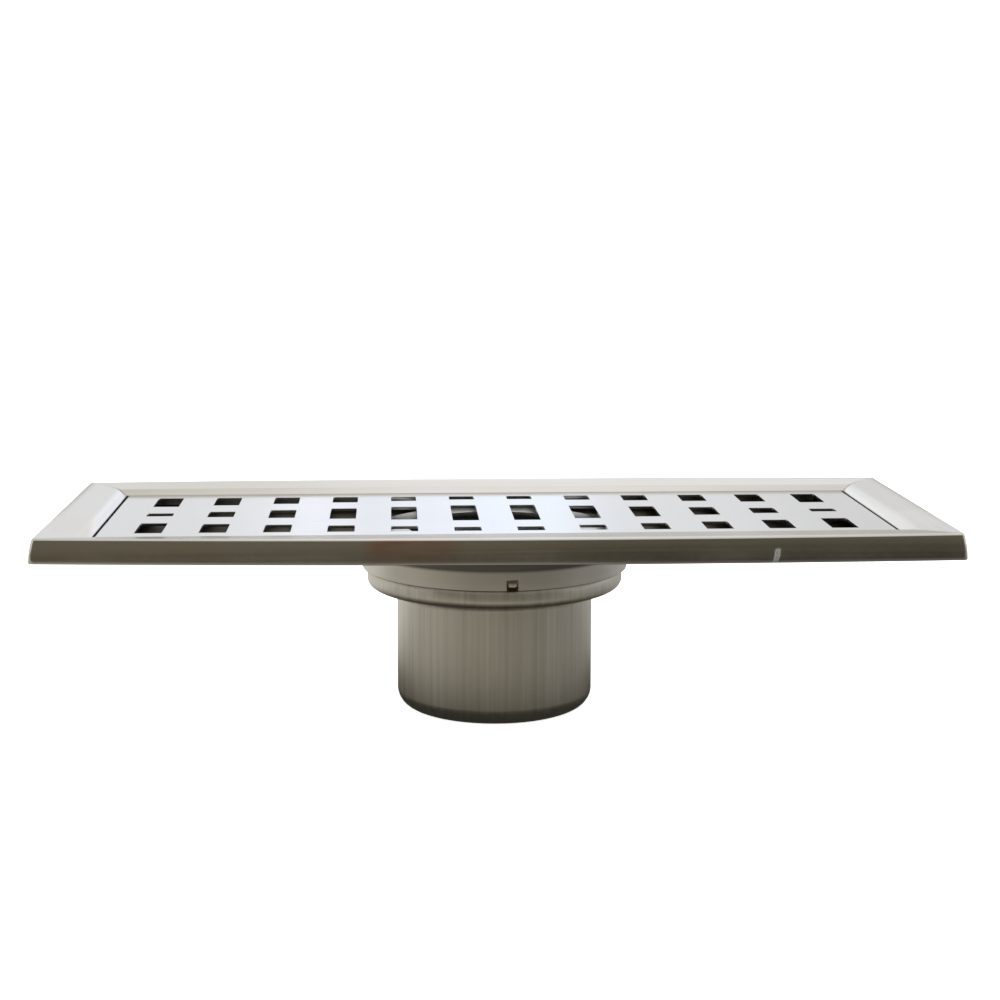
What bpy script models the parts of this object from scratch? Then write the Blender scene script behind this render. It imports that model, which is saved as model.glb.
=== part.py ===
"""Linear floor drain: a mitred frame on a tray, a wave-slotted grate, an outlet cup and a bell trap.

Units are metres and +Z is up. The origin is the middle of the outlet cup's underside, the frame is
long in X, and -Y is the front. Sheet pieces are one sheet thick, and neighbours keep a small gap.
"""

import math

import bmesh
import bpy

# Driving dimensions
FRAME_LENGTH = 0.300
FRAME_DEPTH = 0.120
HEIGHT = 0.070
SHEET = 0.001
GAP = 0.0003

# Frame rail: its outline across the rail, as distances in from the outer face and down from the top
SKIRT_DROP = 0.0086
SKIRT_RADIUS = 0.0015
FACE_INSET = 0.0142
FACE_DROP = 0.0011
BAND_DROP = 0.0023
RIM_WIDTH = 0.0173
LIP_DROP = 0.0050

# Grate
GRATE_GAP = 0.0008
GRATE_TOP = HEIGHT - 0.0023
GRATE_FOLD_DROP = 0.0036
GRATE_EDGE_RADIUS = 0.0008
COLUMNS = 12
COLUMN_PITCH = 0.02097
SLOT_WIDTH = 0.0089
SLOT_FIELD_HALF = 0.035
MIDDLE_SLOT_SHORTEST = 0.0058
MIDDLE_SLOT_STEP = 0.00496
OUTER_SLOT_LONGEST = 0.0185
OUTER_SLOT_STEP = 0.00228
LEG_X = 0.126
LEG_Y = 0.031
LEG_WIDTH = 0.008
LEG_FOOT = 0.012
PAD_THICKNESS = 0.0010

# Tray, and the round collar under the hole in its floor
TRAY_WALL_INSET = 0.009
TRAY_WALL_TOP = HEIGHT - 0.0022
TRAY_UNDERSIDE = HEIGHT - 0.0090
TRAY_EDGE_RADIUS = 0.0012
TRAY_CORNER_RADIUS = 0.0016
COLLAR_RADIUS = 0.046
COLLAR_FILLET = 0.003
COLLAR_BOTTOM = HEIGHT - 0.0207
TRAY_FLOOR = TRAY_UNDERSIDE + SHEET

# Locating tab on the front of the collar
TAB_X = 0.0034
TAB_WIDTH = 0.0038
TAB_DEPTH = 0.0012
TAB_TOP = HEIGHT - 0.0170
TAB_HEIGHT = 0.0036

# Bead ring, with its neck and shoulder, and the cylindrical outlet cup below it
NECK_RADIUS = 0.0439
NECK_TOP = HEIGHT - 0.0170
BEAD_RADIUS = 0.003
BEAD_CENTRE_RADIUS = 0.0414
BEAD_HEIGHT = HEIGHT - 0.0244
SHOULDER_FILLET = 0.0032
SHOULDER_BOTTOM = BEAD_HEIGHT - BEAD_RADIUS - SHOULDER_FILLET
CUP_RADIUS = 0.034
CUP_EDGE_RADIUS = 0.006
SHOULDER_TOP = BEAD_HEIGHT - BEAD_RADIUS + SHEET

# Standpipe, which sets the water level in the cup
PIPE_RADIUS = 0.014
PIPE_TOP = HEIGHT - 0.038
PIPE_FLANGE_RADIUS = 0.018

# Trap insert: strainer basket on a windowed ring, bell, and the screw that joins it to the basket
INSERT_RADIUS = 0.041
INSERT_TOP = HEIGHT - 0.0070
WELL_RADIUS = 0.030
WELL_FLOOR_RADIUS = 0.029
WELL_FLOOR = HEIGHT - 0.0140
INSERT_SEAL_INNER = 0.038
INSERT_SEAL_OUTER = 0.0416
INSERT_SEAL_THICKNESS = 0.0015
BASKET_SLOTS = 12
BASKET_SLOT_WIDTH = 0.0045
BASKET_SLOT_START = 0.009
BASKET_SLOT_END = 0.026
RING_WINDOWS = 8
RING_WINDOW_WIDTH = 0.012
RING_WINDOW_TOP = HEIGHT - 0.0125
RING_WINDOW_BOTTOM = HEIGHT - 0.0215
BELL_RADIUS = 0.022
BELL_TOP = HEIGHT - 0.024
BELL_BOTTOM = HEIGHT - 0.060
BELL_EDGE_RADIUS = 0.003
SCREW_RADIUS = 0.0019
SCREW_HEAD_RADIUS = 0.0036
SCREW_HEAD_HEIGHT = 0.0016
SCREW_END = HEIGHT - 0.029
SPACER_RADIUS = 0.004
NUT_RADIUS = 0.0042
NUT_HEIGHT = 0.003
BORE_RADIUS = SCREW_RADIUS + GAP

# Bail handle and the two clips that hold it in the strainer basket
BAIL_WIRE_RADIUS = 0.001
BAIL_LEG_X = 0.010
BAIL_LEG_LENGTH = 0.014
BAIL_PIN_END_X = 0.016
BAIL_BEND_RADIUS = 0.002
CLIP_X = 0.0136
CLIP_WIDTH = 0.0022
CLIP_SHEET = 0.0008
CLIP_FOOT = 0.002
BAIL_AXIS_Z = WELL_FLOOR + GAP + BAIL_WIRE_RADIUS

# Roundness
LARGE_STEPS = 40
SMALL_STEPS = 24
SCREW_STEPS = 12
BEAD_STEPS = 6
ARC_STEPS = 3
SMOOTH_ANGLE = math.radians(35)
MERGE = 0.00001

STEEL = ("brushed_steel", (0.62, 0.62, 0.60), 0.34, 1.0)
DRAWN_STEEL = ("drawn_steel", (0.50, 0.48, 0.43), 0.42, 1.0)
RUBBER = ("black_rubber", (0.03, 0.03, 0.03), 0.75, 0.0)


def clear_scene():
    for obj in list(bpy.data.objects):
        bpy.data.objects.remove(obj, do_unlink=True)


def new_collection(name, hidden=False):
    collection = bpy.data.collections.new(name)
    collection.hide_render = hidden
    bpy.context.scene.collection.children.link(collection)
    return collection


def material(kind):
    name, colour, roughness, metallic = kind
    found = bpy.data.materials.get(name)
    if found:
        return found
    made = bpy.data.materials.new(name)
    made.use_nodes = True
    shader = made.node_tree.nodes["Principled BSDF"]
    shader.inputs["Base Color"].default_value = (*colour, 1.0)
    shader.inputs["Roughness"].default_value = roughness
    shader.inputs["Metallic"].default_value = metallic
    return made


def add_part(name, data, kind, parent=None):
    """Links a mesh or a curve to the drain's collection as a named piece."""
    obj = bpy.data.objects.new(name, data)
    obj.data.materials.append(material(kind))
    obj.parent = parent
    PARTS.objects.link(obj)
    return obj


def add_axis(name, height, parent=None):
    """An empty on a joint's axis, which the moving pieces hang from."""
    axis = bpy.data.objects.new(name, None)
    axis.location.z = height
    axis.parent = parent
    PARTS.objects.link(axis)
    return axis


def mesh_of(bm, name):
    mesh = bpy.data.meshes.new(name)
    bm.to_mesh(mesh)
    bm.free()
    mesh.shade_smooth()
    mesh.set_sharp_from_angle(angle=SMOOTH_ANGLE)
    return mesh


def arc(centre, radius, start, end, steps=ARC_STEPS):
    """Points along an arc from one angle to the other, in degrees, both ends included."""
    points = []
    for step in range(steps + 1):
        angle = math.radians(start + (end - start) * step / steps)
        points.append((centre[0] + radius * math.cos(angle), centre[1] + radius * math.sin(angle)))
    return points


def sheet_outline(path, thickness):
    """Closes an open path into a sheet's cross-section, thickened on the path's right-hand side."""
    offset = []
    for index, (x, z) in enumerate(path):
        before = path[max(index - 1, 0)]
        after = path[min(index + 1, len(path) - 1)]
        normals = []
        for start, end in ((before, (x, z)), ((x, z), after)):
            length = math.hypot(end[0] - start[0], end[1] - start[1])
            if length > 0:
                normals.append(((end[1] - start[1]) / length, -(end[0] - start[0]) / length))
        mean = [sum(part) / len(normals) for part in zip(*normals)]
        square = mean[0] ** 2 + mean[1] ** 2
        offset.append((x + thickness * mean[0] / square, z + thickness * mean[1] / square))
    return path + offset[::-1]


def turned(name, profile, kind, steps, parent=None, closed=True):
    """Turns a profile about Z. It runs down its outer side, and an open one ends on the axis."""
    bm = bmesh.new()
    verts = [bm.verts.new((x, 0.0, z)) for x, z in profile]
    for start, end in zip(verts, verts[1:]):
        bm.edges.new((start, end))
    if closed:
        bm.edges.new((verts[-1], verts[0]))
    mesh = bpy.data.meshes.new(name)
    bm.to_mesh(mesh)
    bm.free()
    obj = add_part(name, mesh, kind, parent)
    screw = obj.modifiers.new("turn", "SCREW")
    screw.axis = "Z"
    screw.steps = steps
    screw.render_steps = steps
    screw.use_merge_vertices = not closed
    screw.merge_threshold = MERGE
    return settled(obj)


def settled(obj):
    """Applies the modifiers so far, and shades the mesh smooth between its sharp edges."""
    graph = bpy.context.evaluated_depsgraph_get()
    mesh = bpy.data.meshes.new_from_object(obj.evaluated_get(graph))
    obj.modifiers.clear()
    obj.data = mesh
    mesh.shade_smooth()
    mesh.set_sharp_from_angle(angle=SMOOTH_ANGLE)
    return obj


def add_box(bm, low, high):
    """Adds a box between two corners and returns its vertices."""
    made = bmesh.ops.create_cube(bm, size=1.0)["verts"]
    for vert in made:
        for axis in range(3):
            vert.co[axis] = (low[axis] + high[axis]) / 2 + vert.co[axis] * (high[axis] - low[axis])
    return made


def turn_about_z(verts, angle):
    for vert in verts:
        x, y = vert.co.x, vert.co.y
        vert.co.x = x * math.cos(angle) - y * math.sin(angle)
        vert.co.y = x * math.sin(angle) + y * math.cos(angle)


def cut(obj, bm, name):
    """Cuts the boxes of a bmesh out of an object."""
    cutter = bpy.data.objects.new(name, mesh_of(bm, name))
    cutter.hide_render = True
    cutter.display_type = "WIRE"
    CUTTERS.objects.link(cutter)
    boolean = obj.modifiers.new(name, "BOOLEAN")
    boolean.operation = "DIFFERENCE"
    boolean.solver = "EXACT"
    boolean.object = cutter


def rail_outline():
    """The folded rail's cross-section: skirt, rounded edge, dished face, steep inner band and lip."""
    path = [(0.0, -SKIRT_DROP)]
    path += arc((SKIRT_RADIUS, -SKIRT_RADIUS), SKIRT_RADIUS, 180, 90)
    path += [(FACE_INSET, -FACE_DROP), (RIM_WIDTH, -BAND_DROP), (RIM_WIDTH, -LIP_DROP)]
    return sheet_outline(path, SHEET)


def make_rail(name, half_length, half_depth, quarter_turns):
    """Extrudes the outline along a side of the frame and mitres both ends at 45 degrees."""
    bm = bmesh.new()
    gap = GAP / math.sqrt(2)
    verts = []
    for inset, drop in rail_outline():
        verts.append(bm.verts.new((-(half_length - inset - gap), inset - half_depth, HEIGHT + drop)))
    face = bm.faces.new(verts)
    made = bmesh.ops.extrude_face_region(bm, geom=[face])["geom"]
    for vert in made:
        if isinstance(vert, bmesh.types.BMVert):
            vert.co.x = -vert.co.x
    bmesh.ops.recalc_face_normals(bm, faces=bm.faces)
    turn_about_z(bm.verts, quarter_turns * math.pi / 2)
    add_part(name, mesh_of(bm, name), STEEL)


def make_frame():
    half_length = FRAME_LENGTH / 2
    half_depth = FRAME_DEPTH / 2
    make_rail("rim_front", half_length, half_depth, 0)
    make_rail("rim_right", half_depth, half_length, 1)
    make_rail("rim_back", half_length, half_depth, 2)
    make_rail("rim_left", half_depth, half_length, 3)


def rounded_rectangle(half_x, half_y, radius, height):
    """Corner points of a rounded rectangle at one height, anticlockwise from +X +Y."""
    points = []
    for quarter, (sign_x, sign_y) in enumerate(((1, 1), (-1, 1), (-1, -1), (1, -1))):
        centre = (sign_x * (half_x - radius), sign_y * (half_y - radius))
        for x, y in arc(centre, radius, 90 * quarter, 90 * quarter + 90, 3):
            points.append((x, y, height))
    return points


def circle(radius, height, steps):
    points = arc((0.0, 0.0), radius, 0, 360, steps)[:-1]
    return [(x, y, height) for x, y in points]


def loft(bm, sections):
    """Joins rings that have the same number of points, and returns the rings' vertices."""
    rings = [[bm.verts.new(point) for point in section] for section in sections]
    for lower, upper in zip(rings, rings[1:]):
        for index in range(len(lower)):
            after = (index + 1) % len(lower)
            bm.faces.new((lower[index], lower[after], upper[after], upper[index]))
    return rings


def ring_edges(bm, ring):
    return [bm.edges.get((ring[index - 1], ring[index])) for index in range(len(ring))]


def make_tray():
    """The underside of the tray as one open surface, thickened upwards and inwards by Solidify."""
    bm = bmesh.new()
    half_x = FRAME_LENGTH / 2 - TRAY_WALL_INSET
    half_y = FRAME_DEPTH / 2 - TRAY_WALL_INSET
    walls = []
    for inset, rise in arc((TRAY_EDGE_RADIUS, TRAY_EDGE_RADIUS), TRAY_EDGE_RADIUS, 270, 180, 3):
        radius = TRAY_CORNER_RADIUS - inset
        walls.append(
            rounded_rectangle(half_x - inset, half_y - inset, radius, TRAY_UNDERSIDE + rise)
        )
    walls.append(rounded_rectangle(half_x, half_y, TRAY_CORNER_RADIUS, TRAY_WALL_TOP))
    outer = loft(bm, walls)[0]

    hole_radius = COLLAR_RADIUS + COLLAR_FILLET + GAP
    hole = [bm.verts.new(point) for point in circle(hole_radius, TRAY_UNDERSIDE, LARGE_STEPS)]
    for index in range(len(hole)):
        bm.edges.new((hole[index - 1], hole[index]))

    rims = ring_edges(bm, outer) + ring_edges(bm, hole)
    bmesh.ops.triangle_fill(bm, use_beauty=False, edges=rims)
    bmesh.ops.recalc_face_normals(bm, faces=bm.faces)
    floor = max(bm.faces, key=lambda face: face.calc_area() * abs(face.normal.z))
    if floor.normal.z > 0:
        bmesh.ops.reverse_faces(bm, faces=bm.faces)
    tray = add_part("tray", mesh_of(bm, "tray"), STEEL)
    solidify = tray.modifiers.new("sheet", "SOLIDIFY")
    solidify.thickness = SHEET
    solidify.offset = -1.0
    solidify.use_even_offset = True
    settled(tray)


def make_collar():
    """A ring whose top flares out into the hole in the tray."""
    fillet_centre = (COLLAR_RADIUS + COLLAR_FILLET, TRAY_UNDERSIDE - COLLAR_FILLET)
    path = arc(fillet_centre, COLLAR_FILLET, 90, 180)
    path.append((COLLAR_RADIUS, COLLAR_BOTTOM))
    turned("collar", sheet_outline(path, SHEET), STEEL, LARGE_STEPS)


def make_locating_tab():
    bm = bmesh.new()
    inner = COLLAR_RADIUS + GAP
    low = (inner, -TAB_WIDTH / 2, TAB_TOP - TAB_HEIGHT)
    high = (inner + TAB_DEPTH, TAB_WIDTH / 2, TAB_TOP)
    add_box(bm, low, high)
    turn_about_z(bm.verts, -math.acos(TAB_X / inner))
    tab = add_part("locating_tab", mesh_of(bm, "locating_tab"), DRAWN_STEEL)
    bevel = tab.modifiers.new("edges", "BEVEL")
    bevel.width = TAB_DEPTH / 4
    bevel.segments = 2


def bead_path():
    """The bead ring's outer surface, from the top of its neck round the bead to the shoulder's foot."""
    neck_angle = math.degrees(math.acos((NECK_RADIUS - BEAD_CENTRE_RADIUS) / BEAD_RADIUS))
    path = [(NECK_RADIUS, NECK_TOP)]
    path += arc((BEAD_CENTRE_RADIUS, BEAD_HEIGHT), BEAD_RADIUS, neck_angle, -90, BEAD_STEPS)
    path += arc((CUP_RADIUS + SHOULDER_FILLET, SHOULDER_BOTTOM), SHOULDER_FILLET, 90, 180)
    return path


def cup_path():
    """The outlet cup's outer surface, from its open top to the hole in its floor."""
    path = [(CUP_RADIUS, SHOULDER_BOTTOM - GAP)]
    path += arc((CUP_RADIUS - CUP_EDGE_RADIUS, CUP_EDGE_RADIUS), CUP_EDGE_RADIUS, 0, -90)
    path.append((PIPE_RADIUS + GAP, 0.0))
    return path


def make_outlet():
    turned("bead_ring", sheet_outline(bead_path(), SHEET), DRAWN_STEEL, LARGE_STEPS)
    turned("outlet_cup", sheet_outline(cup_path(), SHEET), DRAWN_STEEL, LARGE_STEPS)

    outer = COLLAR_RADIUS - SHEET - GAP
    inner = NECK_RADIUS + GAP
    bottom = COLLAR_BOTTOM + GAP
    seal = [(outer, NECK_TOP), (outer, bottom), (inner, bottom), (inner, NECK_TOP)]
    turned("collar_seal", seal, RUBBER, LARGE_STEPS)

    flange_bottom = SHEET + GAP
    pipe = [
        (PIPE_RADIUS, PIPE_TOP),
        (PIPE_RADIUS, flange_bottom + SHEET),
        (PIPE_FLANGE_RADIUS, flange_bottom + SHEET),
        (PIPE_FLANGE_RADIUS, flange_bottom),
        (PIPE_RADIUS, flange_bottom),
        (PIPE_RADIUS, 0.0),
        (PIPE_RADIUS - SHEET, 0.0),
        (PIPE_RADIUS - SHEET, PIPE_TOP),
    ]
    turned("standpipe", pipe, DRAWN_STEEL, SMALL_STEPS)


def slot_rows(column):
    """The (low, high) Y limits of the three slots in a column, counted outwards from the middle."""
    from_end = COLUMNS // 2 - 1 - column
    middle = MIDDLE_SLOT_SHORTEST + MIDDLE_SLOT_STEP * from_end
    inner_end = SLOT_FIELD_HALF - OUTER_SLOT_LONGEST + OUTER_SLOT_STEP * from_end
    return (
        (-SLOT_FIELD_HALF, -inner_end),
        (-middle / 2, middle / 2),
        (inner_end, SLOT_FIELD_HALF),
    )


def slot_cutters():
    bm = bmesh.new()
    for side in (-1, 1):
        for column in range(COLUMNS // 2):
            centre = side * COLUMN_PITCH * (column + 0.5)
            for low_y, high_y in slot_rows(column):
                low = (centre - SLOT_WIDTH / 2, low_y, GRATE_TOP - 2 * SHEET)
                high = (centre + SLOT_WIDTH / 2, high_y, GRATE_TOP + SHEET)
                add_box(bm, low, high)
    return bm


def make_grate(lift):
    """A folded sheet, open below, with three rows of slots whose lengths follow a wave."""
    half_x = FRAME_LENGTH / 2 - RIM_WIDTH - GRATE_GAP
    half_y = FRAME_DEPTH / 2 - RIM_WIDTH - GRATE_GAP
    bottom = GRATE_TOP - GRATE_FOLD_DROP
    bm = bmesh.new()
    add_box(bm, (-half_x, -half_y, bottom), (half_x, half_y, GRATE_TOP))
    under = [face for face in bm.faces if face.normal.z < -0.5]
    bmesh.ops.delete(bm, geom=under, context="FACES_ONLY")
    top_edges = [edge for edge in bm.edges if all(vert.co.z > bottom for vert in edge.verts)]
    bmesh.ops.bevel(
        bm, geom=top_edges, offset=GRATE_EDGE_RADIUS, segments=2, profile=0.5, affect="EDGES"
    )
    plate = add_part("grate_plate", mesh_of(bm, "grate_plate"), STEEL, lift)
    solidify = plate.modifiers.new("sheet", "SOLIDIFY")
    solidify.thickness = SHEET
    solidify.offset = -1.0
    solidify.use_even_offset = True
    cut(plate, slot_cutters(), "slot_cutters")
    for side_x, side_name in ((-1, "left"), (1, "right")):
        for side_y, end_name in ((-1, "front"), (1, "back")):
            make_leg(f"{end_name}_{side_name}", side_x * LEG_X, side_y * LEG_Y, lift)


def make_leg(place, x, y, lift):
    """An angle bracket welded under the plate, with a rubber pad under its foot."""
    upright_top = GRATE_TOP - SHEET - GAP
    pad_bottom = TRAY_FLOOR + GAP
    foot_bottom = pad_bottom + PAD_THICKNESS + GAP
    outward = math.copysign(1.0, y)
    edge = y + outward * LEG_FOOT / 2
    x_limits = (x - LEG_WIDTH / 2, x + LEG_WIDTH / 2)
    y_foot = sorted((y - outward * LEG_FOOT / 2, edge))
    path = [(edge, upright_top), (edge, foot_bottom), (edge - outward * LEG_FOOT, foot_bottom)]
    bm = bmesh.new()
    thickness = SHEET * outward
    outline = sheet_outline(path, thickness)
    ring = [bm.verts.new((x_limits[0], point_y, point_z)) for point_y, point_z in outline]
    face = bm.faces.new(ring)
    made = bmesh.ops.extrude_face_region(bm, geom=[face])["geom"]
    for vert in made:
        if isinstance(vert, bmesh.types.BMVert):
            vert.co.x = x_limits[1]
    bmesh.ops.recalc_face_normals(bm, faces=bm.faces)
    add_part(f"grate_leg_{place}", mesh_of(bm, "grate_leg"), STEEL, lift)

    bm = bmesh.new()
    low = (x_limits[0], y_foot[0], pad_bottom)
    high = (x_limits[1], y_foot[1], pad_bottom + PAD_THICKNESS)
    add_box(bm, low, high)
    add_part(f"leg_pad_{place}", mesh_of(bm, "leg_pad"), RUBBER, lift)


def basket_slots():
    """Radial slots through the floor of the basket's well."""
    bm = bmesh.new()
    for index in range(BASKET_SLOTS):
        low = (BASKET_SLOT_START, -BASKET_SLOT_WIDTH / 2, WELL_FLOOR - 2 * SHEET)
        high = (BASKET_SLOT_END, BASKET_SLOT_WIDTH / 2, WELL_FLOOR + SHEET)
        turn_about_z(add_box(bm, low, high), 2 * math.pi * index / BASKET_SLOTS)
    return bm


def ring_windows():
    """Windows through the insert ring's wall, which let in the water that runs down beside it."""
    bm = bmesh.new()
    for index in range(RING_WINDOWS):
        low = (INSERT_RADIUS - 3 * SHEET, -RING_WINDOW_WIDTH / 2, RING_WINDOW_BOTTOM)
        high = (INSERT_RADIUS + SHEET, RING_WINDOW_WIDTH / 2, RING_WINDOW_TOP)
        turn_about_z(add_box(bm, low, high), 2 * math.pi * (index + 0.5) / RING_WINDOWS)
    return bm


def make_trap_insert(lift):
    """The lift-out insert: a basket on a ring that stands on a seal, and a bell screwed under it."""
    seal_bottom = SHOULDER_TOP + GAP
    seal_top = seal_bottom + INSERT_SEAL_THICKNESS
    seal = [
        (INSERT_SEAL_OUTER, seal_top),
        (INSERT_SEAL_OUTER, seal_bottom),
        (INSERT_SEAL_INNER, seal_bottom),
        (INSERT_SEAL_INNER, seal_top),
    ]
    turned("insert_seal", seal, RUBBER, LARGE_STEPS, lift)

    ring_top = INSERT_TOP - SHEET - GAP
    ring_bottom = seal_top + GAP
    path = [(INSERT_RADIUS, ring_top), (INSERT_RADIUS, ring_bottom)]
    wall = turned("insert_ring", sheet_outline(path, SHEET), STEEL, LARGE_STEPS, lift)
    cut(wall, ring_windows(), "ring_windows")

    path = [(BORE_RADIUS, WELL_FLOOR), (WELL_FLOOR_RADIUS, WELL_FLOOR)]
    path += [(WELL_RADIUS, INSERT_TOP), (INSERT_RADIUS, INSERT_TOP)]
    basket = turned("strainer_basket", sheet_outline(path, SHEET), STEEL, LARGE_STEPS, lift)
    cut(basket, basket_slots(), "basket_slots")

    path = [(BORE_RADIUS, BELL_TOP)]
    edge = BELL_EDGE_RADIUS
    path += arc((BELL_RADIUS - edge, BELL_TOP - edge), edge, 90, 0)
    path.append((BELL_RADIUS, BELL_BOTTOM))
    turned("bell", sheet_outline(path, SHEET), DRAWN_STEEL, SMALL_STEPS, lift)

    spacer_top = WELL_FLOOR - SHEET - GAP
    spacer_bottom = BELL_TOP + GAP
    ring("bell_spacer", SPACER_RADIUS, spacer_top, spacer_bottom, SCREW_STEPS, lift)
    nut_top = BELL_TOP - SHEET - GAP
    ring("bell_nut", NUT_RADIUS, nut_top, nut_top - NUT_HEIGHT, 6, lift)

    head_bottom = WELL_FLOOR + GAP
    head_top = head_bottom + SCREW_HEAD_HEIGHT
    screw = [
        (0.0, head_top),
        (SCREW_HEAD_RADIUS * 0.6, head_top - SCREW_HEAD_HEIGHT * 0.12),
        (SCREW_HEAD_RADIUS, head_top - SCREW_HEAD_HEIGHT * 0.55),
        (SCREW_HEAD_RADIUS, head_bottom),
        (SCREW_RADIUS, head_bottom),
        (SCREW_RADIUS, SCREW_END),
        (0.0, SCREW_END),
    ]
    turned("bell_screw", screw, STEEL, SCREW_STEPS, lift, closed=False)


def ring(name, radius, top, bottom, steps, lift):
    """A spacer or a nut with a bore that clears the screw, also at the flats of few steps."""
    bore = BORE_RADIUS / math.cos(math.pi / steps)
    outline = [(radius, top), (radius, bottom), (bore, bottom), (bore, top)]
    turned(name, outline, STEEL, steps, lift)


def make_clips(lift):
    """Two bent straps over the bail's pins, welded to the floor of the basket's well."""
    half = BAIL_WIRE_RADIUS + GAP + CLIP_SHEET / 2
    foot_z = WELL_FLOOR + GAP
    crown_z = BAIL_AXIS_Z + BAIL_WIRE_RADIUS + GAP + CLIP_SHEET
    outer_y = half + CLIP_SHEET / 2
    path = [
        (-outer_y - CLIP_FOOT, foot_z + CLIP_SHEET),
        (-outer_y, foot_z + CLIP_SHEET),
        (-outer_y, crown_z),
        (outer_y, crown_z),
        (outer_y, foot_z + CLIP_SHEET),
        (outer_y + CLIP_FOOT, foot_z + CLIP_SHEET),
    ]
    outline = sheet_outline(path, CLIP_SHEET)
    for side, side_name in ((-1, "left"), (1, "right")):
        bm = bmesh.new()
        verts = [bm.verts.new((side * CLIP_X - CLIP_WIDTH / 2, y, z)) for y, z in outline]
        face = bm.faces.new(verts)
        made = bmesh.ops.extrude_face_region(bm, geom=[face])["geom"]
        for vert in made:
            if isinstance(vert, bmesh.types.BMVert):
                vert.co.x = side * CLIP_X + CLIP_WIDTH / 2
        bmesh.ops.recalc_face_normals(bm, faces=bm.faces)
        add_part(f"bail_clip_{side_name}", mesh_of(bm, "bail_clip"), STEEL, lift)


def bail_route():
    """Half of the wire: out of the pin, round the bend, up the leg and over the bow."""
    bend = BAIL_BEND_RADIUS
    points = [(BAIL_PIN_END_X, 0.0)]
    points += arc((BAIL_LEG_X + bend, bend), bend, 270, 180, 3)
    points += arc((0.0, BAIL_LEG_LENGTH), BAIL_LEG_X, 0, 90, 6)
    return points


def make_bail(axis):
    """A bent wire lying flat in the basket, whose two pins turn in the clips."""
    half = bail_route()
    route = half + [(-x, y) for x, y in half[-2::-1]]
    curve = bpy.data.curves.new("bail_handle", "CURVE")
    curve.dimensions = "3D"
    curve.bevel_depth = BAIL_WIRE_RADIUS
    curve.bevel_resolution = 2
    curve.use_fill_caps = True
    spline = curve.splines.new("POLY")
    spline.points.add(len(route) - 1)
    for point, (x, y) in zip(spline.points, route):
        point.co = (x, y, 0.0, 1.0)
    add_part("bail_handle", curve, STEEL, axis)


clear_scene()
PARTS = new_collection("floor_drain")
CUTTERS = new_collection("cutters", hidden=True)
make_frame()
make_tray()
make_collar()
make_locating_tab()
make_outlet()
make_grate(add_axis("grate_lift", 0.0))
insert_lift = add_axis("insert_lift", 0.0)
make_trap_insert(insert_lift)
make_clips(insert_lift)
make_bail(add_axis("bail_swing", BAIL_AXIS_Z, insert_lift))
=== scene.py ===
"""The looks of a linear floor drain: bent and turned sheet metal, brushed steel, and a pale studio."""

import math

import bmesh
import bpy
from mathutils import Matrix, Vector


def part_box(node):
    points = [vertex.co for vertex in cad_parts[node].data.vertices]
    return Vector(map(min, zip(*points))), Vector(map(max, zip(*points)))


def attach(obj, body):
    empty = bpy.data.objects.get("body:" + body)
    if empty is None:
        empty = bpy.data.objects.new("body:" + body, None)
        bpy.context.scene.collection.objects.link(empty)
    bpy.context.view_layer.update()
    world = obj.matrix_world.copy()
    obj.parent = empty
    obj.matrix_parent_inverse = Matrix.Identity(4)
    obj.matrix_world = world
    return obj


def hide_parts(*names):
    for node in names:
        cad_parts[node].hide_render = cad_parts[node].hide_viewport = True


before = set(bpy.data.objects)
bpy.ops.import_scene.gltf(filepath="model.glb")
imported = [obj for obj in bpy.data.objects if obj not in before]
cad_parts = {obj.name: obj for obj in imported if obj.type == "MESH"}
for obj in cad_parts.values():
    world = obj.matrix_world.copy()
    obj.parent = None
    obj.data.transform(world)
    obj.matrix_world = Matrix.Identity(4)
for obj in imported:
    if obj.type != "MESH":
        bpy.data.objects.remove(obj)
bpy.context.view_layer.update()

# Sheet metal
SHEET = 0.001
LIP = 0.00018
HAIRLINE = 0.00004
FOLD = 0.0005
BUTT_JOINT = 0.000005

# Rail, as distances in from its outer face and down from its top
RAIL_EDGE = 0.0007
RAIL_CROWN = 0.0136
CROWN_TILT = 12
FACE_TILT = 4
FACE_INSET = 0.0142
FACE_DROP = 0.0007
END_CREASE = 0.0022
CREASE_STEPS = 6
BAND_DROP = 0.0023
LIP_DROP = 0.0050
SKIRT_LEAN = 0.0003
SKIRT_ZONE = 0.0015
SKIRT_GROWTH = (0.00022, 0.0021)
END_LEAN = 0.0013
END_REACH = 0.010
RAIL_SLICES = 60
SKIRT_STEPS = 6
FRONT_SET = (-0.00026, -0.00235, 0.041)
BACK_SET = (0.0008, -0.028)
FRONT_DROOP = 0.00062
FRONT_SWING = (-0.002, -0.0015)
DROOP_FADE = (0.040, 0.015)
CORNER_RADIUS = 0.0018
CORNER_STEPS = 6
EDGE_X = SKIRT_LEAN + RAIL_EDGE
CROWN_X = EDGE_X + (RAIL_CROWN - RAIL_EDGE) * math.sin(math.radians(CROWN_TILT))

# Grate
COLUMNS = 12
COLUMN_PITCH = 0.02097
SLOT_WIDTH = 0.0089
SLOT_FIELD_HALF = 0.035
MIDDLE_SLOT_SHORTEST = 0.0058
MIDDLE_SLOT_STEP = 0.00496
OUTER_SLOT_LONGEST = 0.0185
OUTER_SLOT_STEP = 0.00228
SLOT_CORNER = 0.00025
SLOT_BURR = 0.00012
GRATE_EDGE = 0.0008
GRATE_CORNER = 0.0011
BURR_SLANT = 0.3
PAD_CORNER = 0.0016
PAD_BULGE = 0.3

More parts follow.
